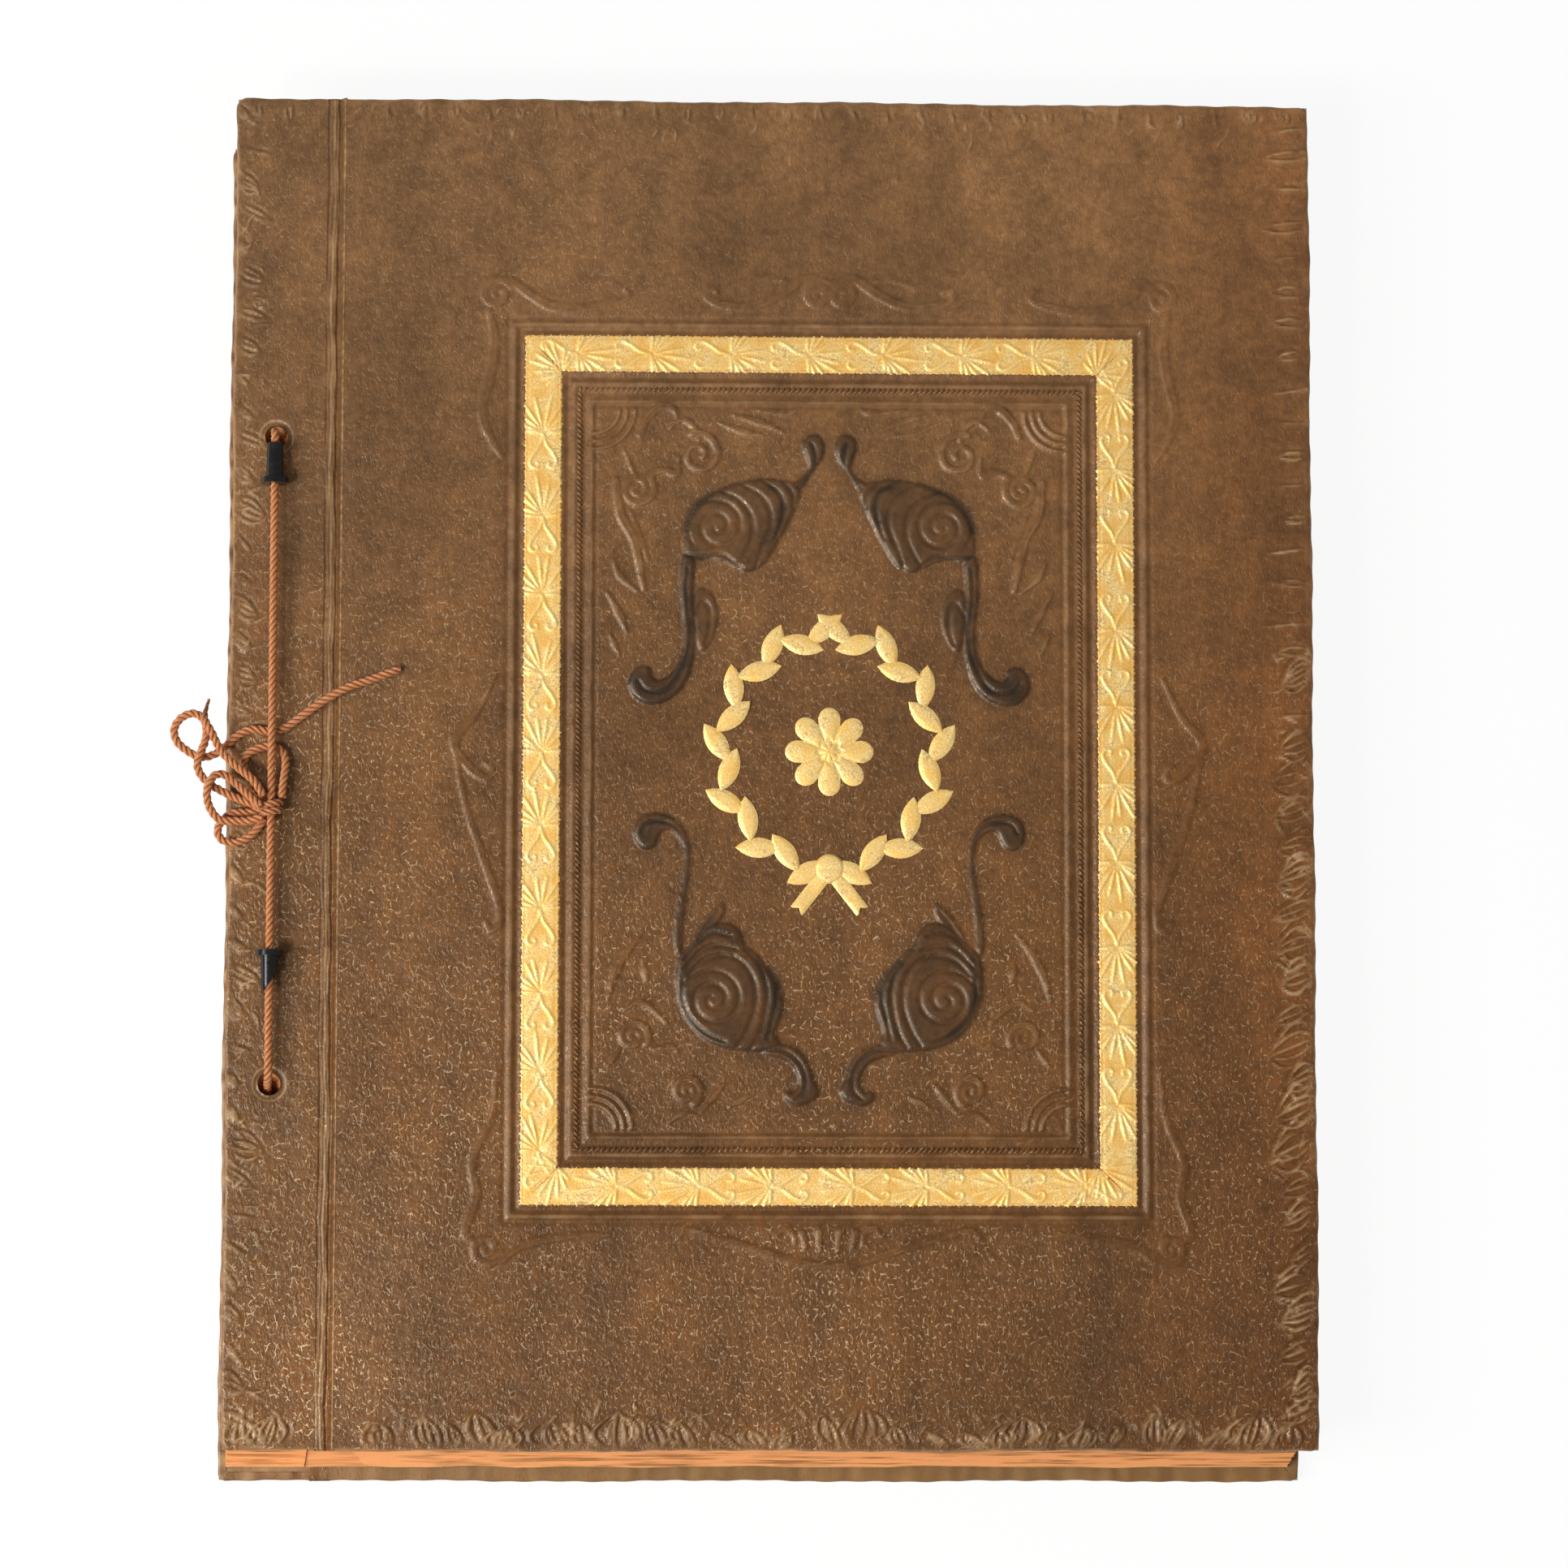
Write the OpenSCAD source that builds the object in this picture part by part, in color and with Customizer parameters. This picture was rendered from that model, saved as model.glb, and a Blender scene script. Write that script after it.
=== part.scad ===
// String-bound scrapbook album, lying closed on its back cover with the spine at -X.
// Two leather covers with flexible hinges hold scored paper leaves, and one cord laces the binding strips.

/* [Covers] */
// Width of a cover from spine edge to fore-edge
cover_w = 305; // [290:1:320]
// Height of a cover from head to tail
cover_h = 381; // [370:1:395]
// Width of the binding strip along the spine
strip_w = 26; // [25:0.5:28]
// Width of the flexible leather hinge
hinge_w = 5.5; // [5:0.25:6]
// Thickness of the main cover board
board_t = 2.6; // [2.2:0.1:3]
// Thickness of the binding strip board
strip_board_t = 1; // [0.8:0.1:1.2]
// Thickness of the leather
leather_t = 0.7; // [0.6:0.05:0.8]
// Width of the leather turned over the inside edges
turn_in = 16; // [12:1:20]
// Thickness of the lining paper inside a cover
lining_t = 0.4; // [0.3:0.05:0.5]
// Radius of the fore-edge corners
corner_r = 3; // [2:0.5:5]
// Height of the ridge along the middle of a hinge
hinge_ridge = 0.5; // [0.3:0.1:0.6]

/* [Leaves] */
// Thickness of a leaf
leaf_t = 0.3; // [0.25:0.01:0.35]
// Distance from one leaf to the next in the stack
leaf_pitch = 1.05; // [1:0.01:1.15]
// Margin of a leaf at head, tail and fore-edge
leaf_inset = 4; // [3:0.5:6]
// Margin of a leaf at the spine edge
leaf_spine_inset = 2.5; // [2:0.5:4]
// Place of the first leaf's score line from the spine edge
score_x = 33; // [32.5:0.5:35]
// Step of the score line from one leaf to the leaf below
score_step = 0.5; // [0.45:0.01:0.6]
// Opening between a stub and its turning leaf
score_gap = 0.6; // [0.5:0.05:0.8]
// Width of the guard that fills each stub
guard_w = 22; // [20:0.5:23]
// Play above each guard
guard_play = 0.05; // [0.03:0.01:0.1]

/* [Lean of the stack] */
// Shift of the front cover against the back cover towards the fore-edge
lean_x = 2.5; // [1:0.5:3]
// Shift of the front cover against the back cover towards the head
lean_y = 9; // [7:0.5:10]

/* [Punched holes] */
// Diameter of a punched hole
hole_d = 6.35; // [6:0.05:7]
// Distance of the holes from the spine edge
hole_x = 12.5; // [12:0.5:13]
// Distance between the two holes
hole_pitch = 182; // [180:1:184]
// Shift of the pair of holes towards the head
hole_shift = 2; // [0:0.5:3]

/* [Cord] */
// Diameter of the twisted cord
cord_d = 2.4; // [2.2:0.05:2.5]
// Height of the taut cord's middle above the front strip
cord_rise = 4.4; // [4.3:0.05:4.6]
// Play between the cord and what it passes
cord_play = 0.05; // [0.03:0.01:0.08]
// Radius of the knot
knot_r = 3.8; // [3.6:0.05:3.9]
// Place of the knot below the middle of the cover
knot_drop = 12; // [10:0.5:14]
// Clearance of the knot and the ferrules round the cord
cord_clear = 0.3; // [0.2:0.05:0.35]

/* [Ferrules] */
// Length of a ferrule
ferrule_l = 11.5; // [10:0.5:12]
// Diameter of a ferrule's flange
flange_d = 8; // [7.2:0.1:8.2]
// Thickness of a ferrule's flange
flange_t = 1.6; // [1.2:0.1:2]
// Diameter of the barrel beside the flange
barrel_d = 5; // [4.8:0.1:5.4]
// Diameter of the barrel at its tip
tip_d = 4.4; // [4.2:0.1:4.7]
// Length of the slanted cut at the lower ferrule's tip
quill_l = 6; // [4:0.5:8]
// Width left at the point of the slanted cut
quill_lip = 0.5; // [0.4:0.1:0.6]
// Place of the upper ferrule's flange above the middle of the cover
upper_flange_y = 79; // [76:0.5:79]
// Place of the lower ferrule's flange below the middle of the cover
lower_flange_y = 52; // [48:0.5:54]

/* [Tooling] */
// Width of the gilt frame
frame_w = 172; // [160:1:180]
// Height of the gilt frame
frame_h = 245; // [235:1:255]
// Width of the gilt band
frame_band = 10.6; // [9:0.1:12]
// Height of the gilt work over the leather
gilt_t = 0.25; // [0.2:0.01:0.35]
// Height of the embossed scrolls and fillets over the leather
relief_t = 0.4; // [0.3:0.05:0.6]
// Width of a fillet line
fillet_w = 1.2; // [1:0.1:2]
// Distance of the panel's fillet inside the gilt band
fillet_inset = 7; // [5:0.5:9]
// Distance of the outer fillet from the gilt band
fillet_outset = 2.4; // [2:0.1:4]
// Half width of the gilt wreath
wreath_rx = 30; // [26:0.5:32]
// Half height of the gilt wreath
wreath_ry = 33; // [29:0.5:36]
// Length of a wreath leaf
wreath_leaf_l = 13; // [12:0.25:13.5]
// Length of a ribbon tail at the wreath's foot
ribbon_l = 15; // [12:0.5:16]
// Width of the ribbon
ribbon_w = 4.2; // [3.5:0.1:5]
// Radius of the rosette's petals
petal_r = 4.6; // [4:0.1:5]
// Distance of the petals from the rosette's middle
petal_at = 8.5; // [8:0.1:9]
// Height of the wreath's middle over the frame's middle
wreath_up = 4.5; // [0:0.5:8]
// Width of an embossed scroll's rib
scroll_rib = 5; // [4:0.25:6]

/* [Hidden] */
$fn = 48;
leaf_count = 20;
wreath_leaves = 26;
petals = 8;
tube_sides = 8;
loop_sides = 6;
span_steps = 4;
corner_steps = 6;
bend_r = 4;
first_normal = [0.1, 0.2, 1];
cut_over = 1;
wreath_leaf_lift = 34;
wreath_leaf_arc = 0.68;
wreath_leaf_out = 0.22;
ribbon_turn = 38;
ribbon_notch = 0.6;
spiral_turns = 1.4;
spiral_r = 10;
spiral_points = 30;
scroll_taper = 0.6;

leather_brown = "#6b4e33";
hinge_brown = "#7d6044";
board_grey = "#8c8476";
lining_tan = "#c9a97e";
leaf_tan = "#e59a5f";
guard_tan = "#d98f57";
gilt_gold = "#d9ab55";
cord_copper = "#b5673a";
ferrule_black = "#1c1b1a";

strip_t = strip_board_t + 2 * leather_t;
cover_t = board_t + 2 * leather_t;
cover_x = strip_w + hinge_w;
back_strip_z = cord_d + 2 * cord_play;
stack_z = back_strip_z + strip_t;
front_strip_z = stack_z + leaf_count * leaf_pitch;
front_cover_z = front_strip_z + 2 * cord_play;
front_strip_top = front_strip_z + strip_t;
front_cover_top = front_cover_z + cover_t;
leaf_h = cover_h - 2 * leaf_inset;
guard_t = leaf_pitch - leaf_t - guard_play;
frame_x = (cover_x + cover_w) / 2;
bore_d = cord_d + 2 * cord_clear;
hole_ys = [hole_shift + hole_pitch / 2, hole_shift - hole_pitch / 2];

// Layers run from 0 at the back cover to 1 at the front cover.
function leaf_layer(i) = 1 - i / (leaf_count + 1);
function leaf_z(i) = stack_z + (leaf_count - i) * leaf_pitch;
function leaf_x(i) = score_x + score_step * (i - 1);
function leaf_name(i) = str("leaf_", i < 10 ? "0" : "", i);
function layer_shift(f) = [lean_x * (f - 0.5) - cover_w / 2, lean_y * (f - 0.5), 0];

// Routes of the cord, as points from the knot's middle, with heights over the front strip.
tail_route = [
    [35.5, 39, 3.4], [27.5, 36, 3.5], [20.5, 33.5, 3.5], [13.5, 29.5, 2.8],
    [8.5, 26, 1.8], [4, 22.8, 1.5], [0, 21.2, 1.5]
];
upper_loop_route = [
    [0, 21.2, 1.5], [-3.5, 21.8, 1.5], [-6.5, 21.8, 1.5], [-10, 20, 1.5], [-13.3, 17, 1.4],
    [-16.5, 14.8, 1.2], [-20.2, 14.2, 1.2], [-23.8, 15.9, 1.3], [-26.7, 18.6, 1.4],
    [-27.4, 22.1, 1.6], [-25.3, 25.2, 1.9], [-21.9, 26.3, 2.3], [-19.2, 24.6, 2.8],
    [-18.3, 21.8, 3.4], [-18.5, 18.6, 4], [-19.7, 15.2, 4.4], [-20.7, 11.8, 4], [-19.7, 8.9, 3.4],
    [-17.2, 6.4, 3], [-13.8, 4.4, 2.9], [-9, 2.2, 3.4], [-4, 0.3, 4.7]
];
end_route = [
    [-17.5, 30, 5.6], [-18.5, 26, 6], [-18.3, 23.6, 6.3], [-16.7, 20.6, 6.2], [-13.8, 15.2, 5.2],
    [-9, 10.6, 5.8], [-4.9, 7.2, 6.6], [-2, 2.8, 6.4]
];
strand_route = [
    [2.95, 2.7, 4.4], [3.3, 7, 4.2], [3.8, 11.6, 3.2], [3.1, 15.4, 1.9], [0, 17.2, 1.5],
    [-3.5, 16.8, 1.5], [-6.9, 15, 1.5], [-7.9, 12.2, 1.6], [-6.9, 9.2, 2], [-4.9, 6, 2.4],
    [-2.45, 2.65, 2.55]
];
middle_loop_route = [
    [-2.4, -3, 5.5], [-5.8, -4, 5], [-9, -4.1, 4.6], [-14, -3.8, 4.6], [-16.8, -0.8, 5],
    [-17.8, 3, 5.6], [-17.2, 6.4, 6.1], [-15.4, 8.7, 5.7], [-12.8, 8.7, 5], [-9.8, 6.4, 5.2],
    [-6.6, 3.4, 6], [-2.5, -0.2, 7.5]
];
lower_loop_route = [
    [-3.2, -0.6, 1.95], [-6.5, -1.4, 1.6], [-10.5, -1.6, 1.5], [-13.6, -3.4, 1.4], [-15, -6.4, 1.3],
    [-13.8, -9, 1.4], [-10.4, -9.9, 1.5], [-6.2, -8.2, 1.6], [-3.6, -5.6, 1.9], [-1.9, -3.2, 2.3]
];

// The lacing leans with the stack, so its legs follow the line through the holes' middles.
hole_slope = [lean_x, lean_y, 0] / (front_strip_z - back_strip_z);
lacing_front_z = front_strip_top + cord_rise;
lacing_back_z = cord_d / 2 + cord_play;
function hole_at(k, z) = layer_shift(1) + [hole_x, hole_ys[k], z]
    + hole_slope * (z - front_strip_z - strip_t / 2);
knot_at = layer_shift(1) + [hole_x, -knot_drop, lacing_front_z];
function front_corner(k) = [knot_at.x, hole_at(k, lacing_front_z).y, lacing_front_z];
lacing_corners = [
    knot_at + [0, cord_play, 0], front_corner(0), hole_at(0, lacing_back_z),
    hole_at(1, lacing_back_z), front_corner(1), knot_at - [0, cord_play, 0]
];

function unit(v) = v / norm(v);
// A route with each corner rounded by a curve that starts bend_r before it.
function rounded(p) = concat([p[0]], [
    for (i = [1 : len(p) - 2], s = [0 : corner_steps])
        let (a = p[i] + bend_r * unit(p[i - 1] - p[i]), b = p[i] + bend_r * unit(p[i + 1] - p[i]))
        let (u = s / corner_steps)
        (1 - u) * (1 - u) * a + 2 * u * (1 - u) * p[i] + u * u * b
], [p[len(p) - 1]]);
// A smooth curve through every point of a route.
function spline_at(a, b, c, d, u) = 0.5 * (2 * b + u * (c - a)
    + u * u * (2 * a - 5 * b + 4 * c - d) + u * u * u * (3 * b - a - 3 * c + d));
function smooth(p) = concat([
    for (i = [0 : len(p) - 2], s = [0 : span_steps - 1])
        let (a = i > 0 ? p[i - 1] : 2 * p[0] - p[1])
        let (d = i < len(p) - 2 ? p[i + 2] : 2 * p[i + 1] - p[i])
        spline_at(a, p[i], p[i + 1], d, s / span_steps)
], [p[len(p) - 1]]);
function tangents(p) = [
    for (i = [0 : len(p) - 1]) unit(p[min(i + 1, len(p) - 1)] - p[max(i - 1, 0)])
];
function across(v, t) = unit(v - (v * t) * t);
// Directions across a route that turn as little as they can from ring to ring.
function normals(t) = [
    for (i = 0, n = across(first_normal, t[0]); i < len(t); i = i + 1,
        n = i < len(t) ? across(n, t[i]) : n) n
];
function least_gap(p, d) = min([
    for (i = [0 : len(p) - 2], j = [i + 1 : len(p) - 1])
        if (j - i > 3 * span_steps) norm(p[i] - p[j]) - d
]);
function above_strip(route) = [
    for (q = route) knot_at + [q.x, q.y, q.z - cord_rise]
];

module tube(p, d, sides) {
    t = tangents(p);
    n = normals(t);
    points = [
        for (i = [0 : len(p) - 1], k = [0 : sides - 1])
            p[i] + d / 2 * (cos(360 * k / sides) * n[i] + sin(360 * k / sides) * cross(t[i], n[i]))
    ];
    last = (len(p) - 1) * sides;
    walls = [
        for (i = [0 : len(p) - 2], k = [0 : sides - 1], half = [0, 1])
            let (a = i * sides + k, b = i * sides + (k + 1) % sides)
            half == 0 ? [a, a + sides, b] : [b, a + sides, b + sides]
    ];
    ends = [[for (k = [0 : sides - 1]) k], [for (k = [sides - 1 : -1 : 0]) last + k]];
    polyhedron(points, concat(walls, ends));
}

module at_layer(f) {
    translate(layer_shift(f)) children();
}

// The back of the album repeats the front, turned over at the same spine edge.
module turned_over(z) {
    translate([0, 0, z]) mirror([0, 0, 1]) children();
}

module sheet(x0, x1, h, t) {
    translate([x0, -h / 2, 0]) cube([x1 - x0, h, t]);
}

module binding_holes(t) {
    for (y = hole_ys) translate([hole_x, y, -t]) cylinder(d = hole_d, h = 3 * t);
}

// Outline of a cover with its two fore-edge corners rounded.
module cover_outline() {
    inner_w = cover_w - cover_x - corner_r;
    translate([cover_x, -cover_h / 2]) square([inner_w, cover_h]);
    translate([cover_x, corner_r - cover_h / 2])
        square([cover_w - cover_x, cover_h - 2 * corner_r]);
    for (side = [-1, 1])
        translate([cover_w - corner_r, side * (cover_h / 2 - corner_r)]) circle(r = corner_r);
}

module cover_board() {
    translate([0, 0, leather_t])
        sheet(cover_x, cover_w - leather_t, cover_h - 2 * leather_t, board_t);
}

// Leather over the board's face, three edges and inside margin, with its face upwards.
module cover_leather() {
    difference() {
        linear_extrude(cover_t) cover_outline();
        cover_board();
        translate([0, 0, -leather_t])
            sheet(cover_x - cut_over, cover_w - turn_in, cover_h - 2 * turn_in, 2 * leather_t);
    }
}

module cover_lining() {
    translate([0, 0, leather_t - lining_t])
        sheet(cover_x, cover_w - turn_in, cover_h - 2 * turn_in, lining_t);
}

module strip_board() {
    difference() {
        translate([0, 0, leather_t])
            sheet(leather_t, strip_w, cover_h - 2 * leather_t, strip_board_t);
        binding_holes(strip_t);
    }
}

module strip_leather() {
    difference() {
        sheet(0, strip_w, cover_h, strip_t);
        translate([0, 0, leather_t])
            sheet(leather_t, strip_w + cut_over, cover_h - 2 * leather_t, strip_board_t);
        binding_holes(strip_t);
    }
}

// A creased band of leather that climbs from the strip's face to the cover's face.
module hinge_leather(rise) {
    crease = [
        [0, 0], [hinge_w / 4, rise / 4 - hinge_ridge / 2], [hinge_w / 2, rise / 2 + hinge_ridge / 2],
        [3 * hinge_w / 4, 3 * rise / 4 - hinge_ridge], [hinge_w, rise]
    ];
    under = [for (i = [len(crease) - 1 : -1 : 0]) crease[i] - [0, leather_t]];
    translate([strip_w, cover_h / 2, 0]) rotate([90, 0, 0])
        linear_extrude(cover_h) polygon(concat(crease, under));
}

// Rectangular ring, measured over its outside.
module ring(w, h, band) {
    difference() {
        square([w, h], center = true);
        square([w - 2 * band, h - 2 * band], center = true);
    }
}

// One acanthus scroll as a flat spiral rib with a long tail, in the upper left quarter.
spiral_middle = [-28.5, 66];
scroll_tail = [
    [-38.5, 60], [-39, 48], [-42, 38], [-48, 30], [-53, 24]
];
function spiral_at(u) =
    let (r = spiral_r - u * (spiral_r - scroll_rib / 2), turn = 180 - 360 * spiral_turns * u)
    spiral_middle + r * [cos(turn), sin(turn)];
scroll_path = concat(
    [for (i = [len(scroll_tail) - 1 : -1 : 0]) scroll_tail[i]],
    [for (i = [0 : spiral_points]) spiral_at(i / spiral_points)]
);
function scroll_width(i) =
    scroll_rib * min(1, (i + 1) / len(scroll_tail)) * (1 - scroll_taper * i / len(scroll_path));
function scroll_side(side) =
    let (t = tangents(scroll_path))
    [for (i = [0 : len(t) - 1]) scroll_path[i] + side * scroll_width(i) / 2 * [-t[i].y, t[i].x]];

module scroll() {
    left = scroll_side(1);
    right = scroll_side(-1);
    polygon(concat(left, [for (i = [len(right) - 1 : -1 : 0]) right[i]]));
}

// Scrolls, a fillet inside the gilt band and a fillet outside it, rooted in the leather.
module front_relief() {
    sink = leather_t / 2;
    inner = -2 * (frame_band + fillet_inset);
    outer = 2 * (fillet_outset + fillet_w);
    translate([frame_x, 0, cover_t - sink]) linear_extrude(relief_t + sink) {
        for (x = [0, 1], y = [0, 1]) mirror([x, 0]) mirror([0, y]) scroll();
        for (grow = [inner, outer]) ring(frame_w + grow, frame_h + grow, fillet_w);
    }
}

module front_cover_leather() {
    color(leather_brown) at_layer(1) translate([0, 0, front_cover_z]) {
        cover_leather();
        front_relief();
    }
}

module front_cover_board() {
    color(board_grey) at_layer(1) translate([0, 0, front_cover_z]) cover_board();
}

module front_lining() {
    color(lining_tan) at_layer(1) translate([0, 0, front_cover_z]) cover_lining();
}

module front_strip_leather() {
    color(leather_brown) at_layer(1) translate([0, 0, front_strip_z]) strip_leather();
}

module front_strip_board() {
    color(board_grey) at_layer(1) translate([0, 0, front_strip_z]) strip_board();
}

module front_hinge_leather() {
    color(hinge_brown) at_layer(1) translate([0, 0, front_strip_top])
        hinge_leather(front_cover_top - front_strip_top);
}

module gilt_frame() {
    color(gilt_gold) at_layer(1) translate([frame_x, 0, front_cover_top])
        linear_extrude(gilt_t) ring(frame_w, frame_h, frame_band);
}

// Pointed leaf along +X, where two equal arcs cross.
module wreath_leaf() {
    arc_r = wreath_leaf_arc * wreath_leaf_l;
    arc_y = sqrt(arc_r * arc_r - wreath_leaf_l * wreath_leaf_l / 4);
    intersection_for (side = [-1, 1]) translate([0, side * arc_y]) circle(r = arc_r);
}

// Ribbon tail along +X with a swallow-tail end.
module ribbon_tail() {
    difference() {
        translate([0, -ribbon_w / 2]) square([ribbon_l, ribbon_w]);
        translate([ribbon_l, 0]) rotate(45) square(ribbon_notch * ribbon_w, center = true);
    }
}

// Leaves in two branches that rise from a tied ribbon, round a rosette.
module gilt_wreath() {
    wreath_middle = [frame_x, wreath_up, front_cover_top];
    color(gilt_gold) at_layer(1) translate(wreath_middle) linear_extrude(gilt_t) {
        for (i = [0 : wreath_leaves - 1]) {
            turn = 360 * (i + 0.5) / wreath_leaves - 90;
            side = turn < 90 ? 1 : -1;
            rank = min(i, wreath_leaves - 1 - i);
            lift = rank % 2 == 0 ? wreath_leaf_lift : -wreath_leaf_lift;
            translate([wreath_rx * cos(turn), wreath_ry * sin(turn)])
                rotate(turn + side * (90 - lift)) translate([wreath_leaf_out * wreath_leaf_l, 0]) wreath_leaf();
        }
        translate([0, -wreath_ry]) {
            for (side = [-1, 1]) rotate(side * ribbon_turn - 90) ribbon_tail();
            circle(r = ribbon_w);
        }
        for (i = [0 : petals - 1]) rotate(360 * i / petals) translate([petal_at, 0]) circle(r = petal_r);
        circle(r = petal_at);
    }
}

module back_cover_leather() {
    color(leather_brown) at_layer(0) turned_over(cover_t) cover_leather();
}

module back_cover_board() {
    color(board_grey) at_layer(0) turned_over(cover_t) cover_board();
}

module back_lining() {
    color(lining_tan) at_layer(0) turned_over(cover_t) cover_lining();
}

module back_strip_leather() {
    color(leather_brown) at_layer(0) translate([0, 0, back_strip_z]) strip_leather();
}

module back_strip_board() {
    color(board_grey) at_layer(0) translate([0, 0, back_strip_z]) strip_board();
}

module back_hinge_leather() {
    color(hinge_brown) at_layer(0) turned_over(back_strip_z) hinge_leather(back_strip_z);
}

module leaf(i) {
    color(leaf_tan) at_layer(leaf_layer(i)) translate([0, 0, leaf_z(i)])
        sheet(leaf_x(i), cover_w - leaf_inset, leaf_h, leaf_t);
}

module leaf_stubs() {
    color(leaf_tan) for (i = [1 : leaf_count]) at_layer(leaf_layer(i)) translate([0, 0, leaf_z(i)])
        difference() {
            sheet(leaf_spine_inset, leaf_x(i) - score_gap, leaf_h, leaf_t);
            binding_holes(leaf_t);
        }
}

module leaf_guards() {
    color(guard_tan) for (i = [1 : leaf_count])
        at_layer(leaf_layer(i)) translate([0, 0, leaf_z(i) + leaf_t])
            difference() {
                sheet(leaf_spine_inset, leaf_spine_inset + guard_w, leaf_h, guard_t);
                binding_holes(guard_t);
            }
}

module lacing_cord() {
    color(cord_copper) tube(rounded(lacing_corners), cord_d, tube_sides);
}

module bow_knot() {
    color(cord_copper) translate(knot_at) difference() {
        sphere(r = knot_r);
        rotate([90, 0, 0]) cylinder(d = bore_d, h = 3 * knot_r, center = true);
    }
}

module bow_piece(route) {
    color(cord_copper) tube(smooth(above_strip(route)), cord_d, loop_sides);
}

module bow_tail() {
    bow_piece(tail_route);
}

module bow_upper_loop() {
    echo(upper_loop_gap = least_gap(smooth(upper_loop_route), cord_d));
    bow_piece(upper_loop_route);
}

module bow_middle_loop() {
    echo(middle_loop_gap = least_gap(smooth(middle_loop_route), cord_d));
    bow_piece(middle_loop_route);
}

module bow_lower_loop() {
    echo(lower_loop_gap = least_gap(smooth(lower_loop_route), cord_d));
    bow_piece(lower_loop_route);
}

module bow_strand() {
    echo(strand_gap = least_gap(smooth(strand_route), cord_d));
    bow_piece(strand_route);
}

module bow_end() {
    bow_piece(end_route);
}

// Flanged plug with a tapering barrel and a bore for the cord, standing on its flange.
module ferrule() {
    rotate_extrude() polygon([
        [bore_d / 2, 0], [flange_d / 2, 0], [flange_d / 2, flange_t], [barrel_d / 2, flange_t],
        [tip_d / 2, ferrule_l], [bore_d / 2, ferrule_l]
    ]);
}

module ferrule_upper() {
    color(ferrule_black) translate([knot_at.x, layer_shift(1).y + upper_flange_y, knot_at.z])
        rotate([-90, 0, 0]) ferrule();
}

// The lower barrel is cut to a slanted tip like a quill.
module ferrule_lower() {
    slant = atan(tip_d / quill_l);
    color(ferrule_black) translate([knot_at.x, layer_shift(1).y - lower_flange_y, knot_at.z])
        rotate([90, 0, 0]) difference() {
            ferrule();
            translate([quill_lip - tip_d / 2, -tip_d, ferrule_l]) rotate([0, -slant, 0])
                translate([0, 0, -2 * quill_l]) cube([2 * tip_d, 2 * tip_d, 4 * quill_l]);
        }
}

front_cover_leather();
front_cover_board();
front_lining();
gilt_frame();
gilt_wreath();
front_strip_leather();
front_strip_board();
front_hinge_leather();
back_cover_leather();
back_cover_board();
back_lining();
back_strip_leather();
back_strip_board();
back_hinge_leather();
leaf_stubs();
leaf_guards();
lacing_cord();
bow_knot();
bow_tail();
bow_upper_loop();
bow_middle_loop();
bow_lower_loop();
bow_strand();
bow_end();
ferrule_upper();
ferrule_lower();
for (i = [1 : leaf_count]) leaf(i);
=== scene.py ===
import bpy
import math
import numpy as np
from mathutils import Matrix, Vector


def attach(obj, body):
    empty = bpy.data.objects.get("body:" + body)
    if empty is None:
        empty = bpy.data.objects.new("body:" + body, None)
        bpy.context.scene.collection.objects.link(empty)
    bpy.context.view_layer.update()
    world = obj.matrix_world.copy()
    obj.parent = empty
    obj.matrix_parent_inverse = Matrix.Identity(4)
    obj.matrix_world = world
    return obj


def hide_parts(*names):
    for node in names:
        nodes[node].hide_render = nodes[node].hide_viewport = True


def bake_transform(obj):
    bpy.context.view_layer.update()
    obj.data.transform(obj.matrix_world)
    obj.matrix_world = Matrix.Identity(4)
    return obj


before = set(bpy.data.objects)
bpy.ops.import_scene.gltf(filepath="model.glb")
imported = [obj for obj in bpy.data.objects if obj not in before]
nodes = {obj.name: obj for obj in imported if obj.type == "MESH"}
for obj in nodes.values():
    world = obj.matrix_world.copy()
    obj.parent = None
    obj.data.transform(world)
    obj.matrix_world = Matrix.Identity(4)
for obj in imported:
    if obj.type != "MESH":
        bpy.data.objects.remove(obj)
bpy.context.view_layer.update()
scene = bpy.context.scene
mm = 0.001

# sizes of the album in mm, the same as the source's
album = {
    "coverW": 305.0, "coverH": 381.0, "stripW": 26.0, "hingeW": 5.5,
    "leanX": 2.5, "leanY": 9.0, "turnIn": 16.0, "leatherT": 0.7,
    "backStripZ": 2.5, "stackZ": 4.9, "frontStripTop": 28.3, "frontCoverTop": 30.0,
    "coverT": 4.0, "stripT": 2.4, "holeD": 6.35, "holeX": 12.5, "holeYs": (93.0, -89.0),
    "frameX": 168.25, "frameW": 172.0, "frameH": 245.0, "frameBand": 10.6,
}
coverX = album["stripW"] + album["hingeW"]
halfH = album["coverH"] / 2


def layerShift(f):
    return np.array([album["leanX"] * (f - 0.5) - album["coverW"] / 2, album["leanY"] * (f - 0.5), 0.0])


def hexColour(code):
    parts = [int(code[i:i + 2], 16) / 255 for i in (1, 3, 5)]
    return tuple(c / 12.92 if c <= 0.04045 else ((c + 0.055) / 1.055) ** 2.4 for c in parts) + (1.0,)


def addNode(tree, kind, inputs=None, **settings):
    node = tree.nodes.new(kind)
    for key, value in settings.items():
        setattr(node, key, value)
    for key, value in (inputs or {}).items():
        if isinstance(value, bpy.types.Node):   # a node stands for its first output
            value = value.outputs[0]
        if isinstance(value, bpy.types.NodeSocket):
            tree.links.new(value, node.inputs[key])
        else:
            node.inputs[key].default_value = value
    return node


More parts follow.
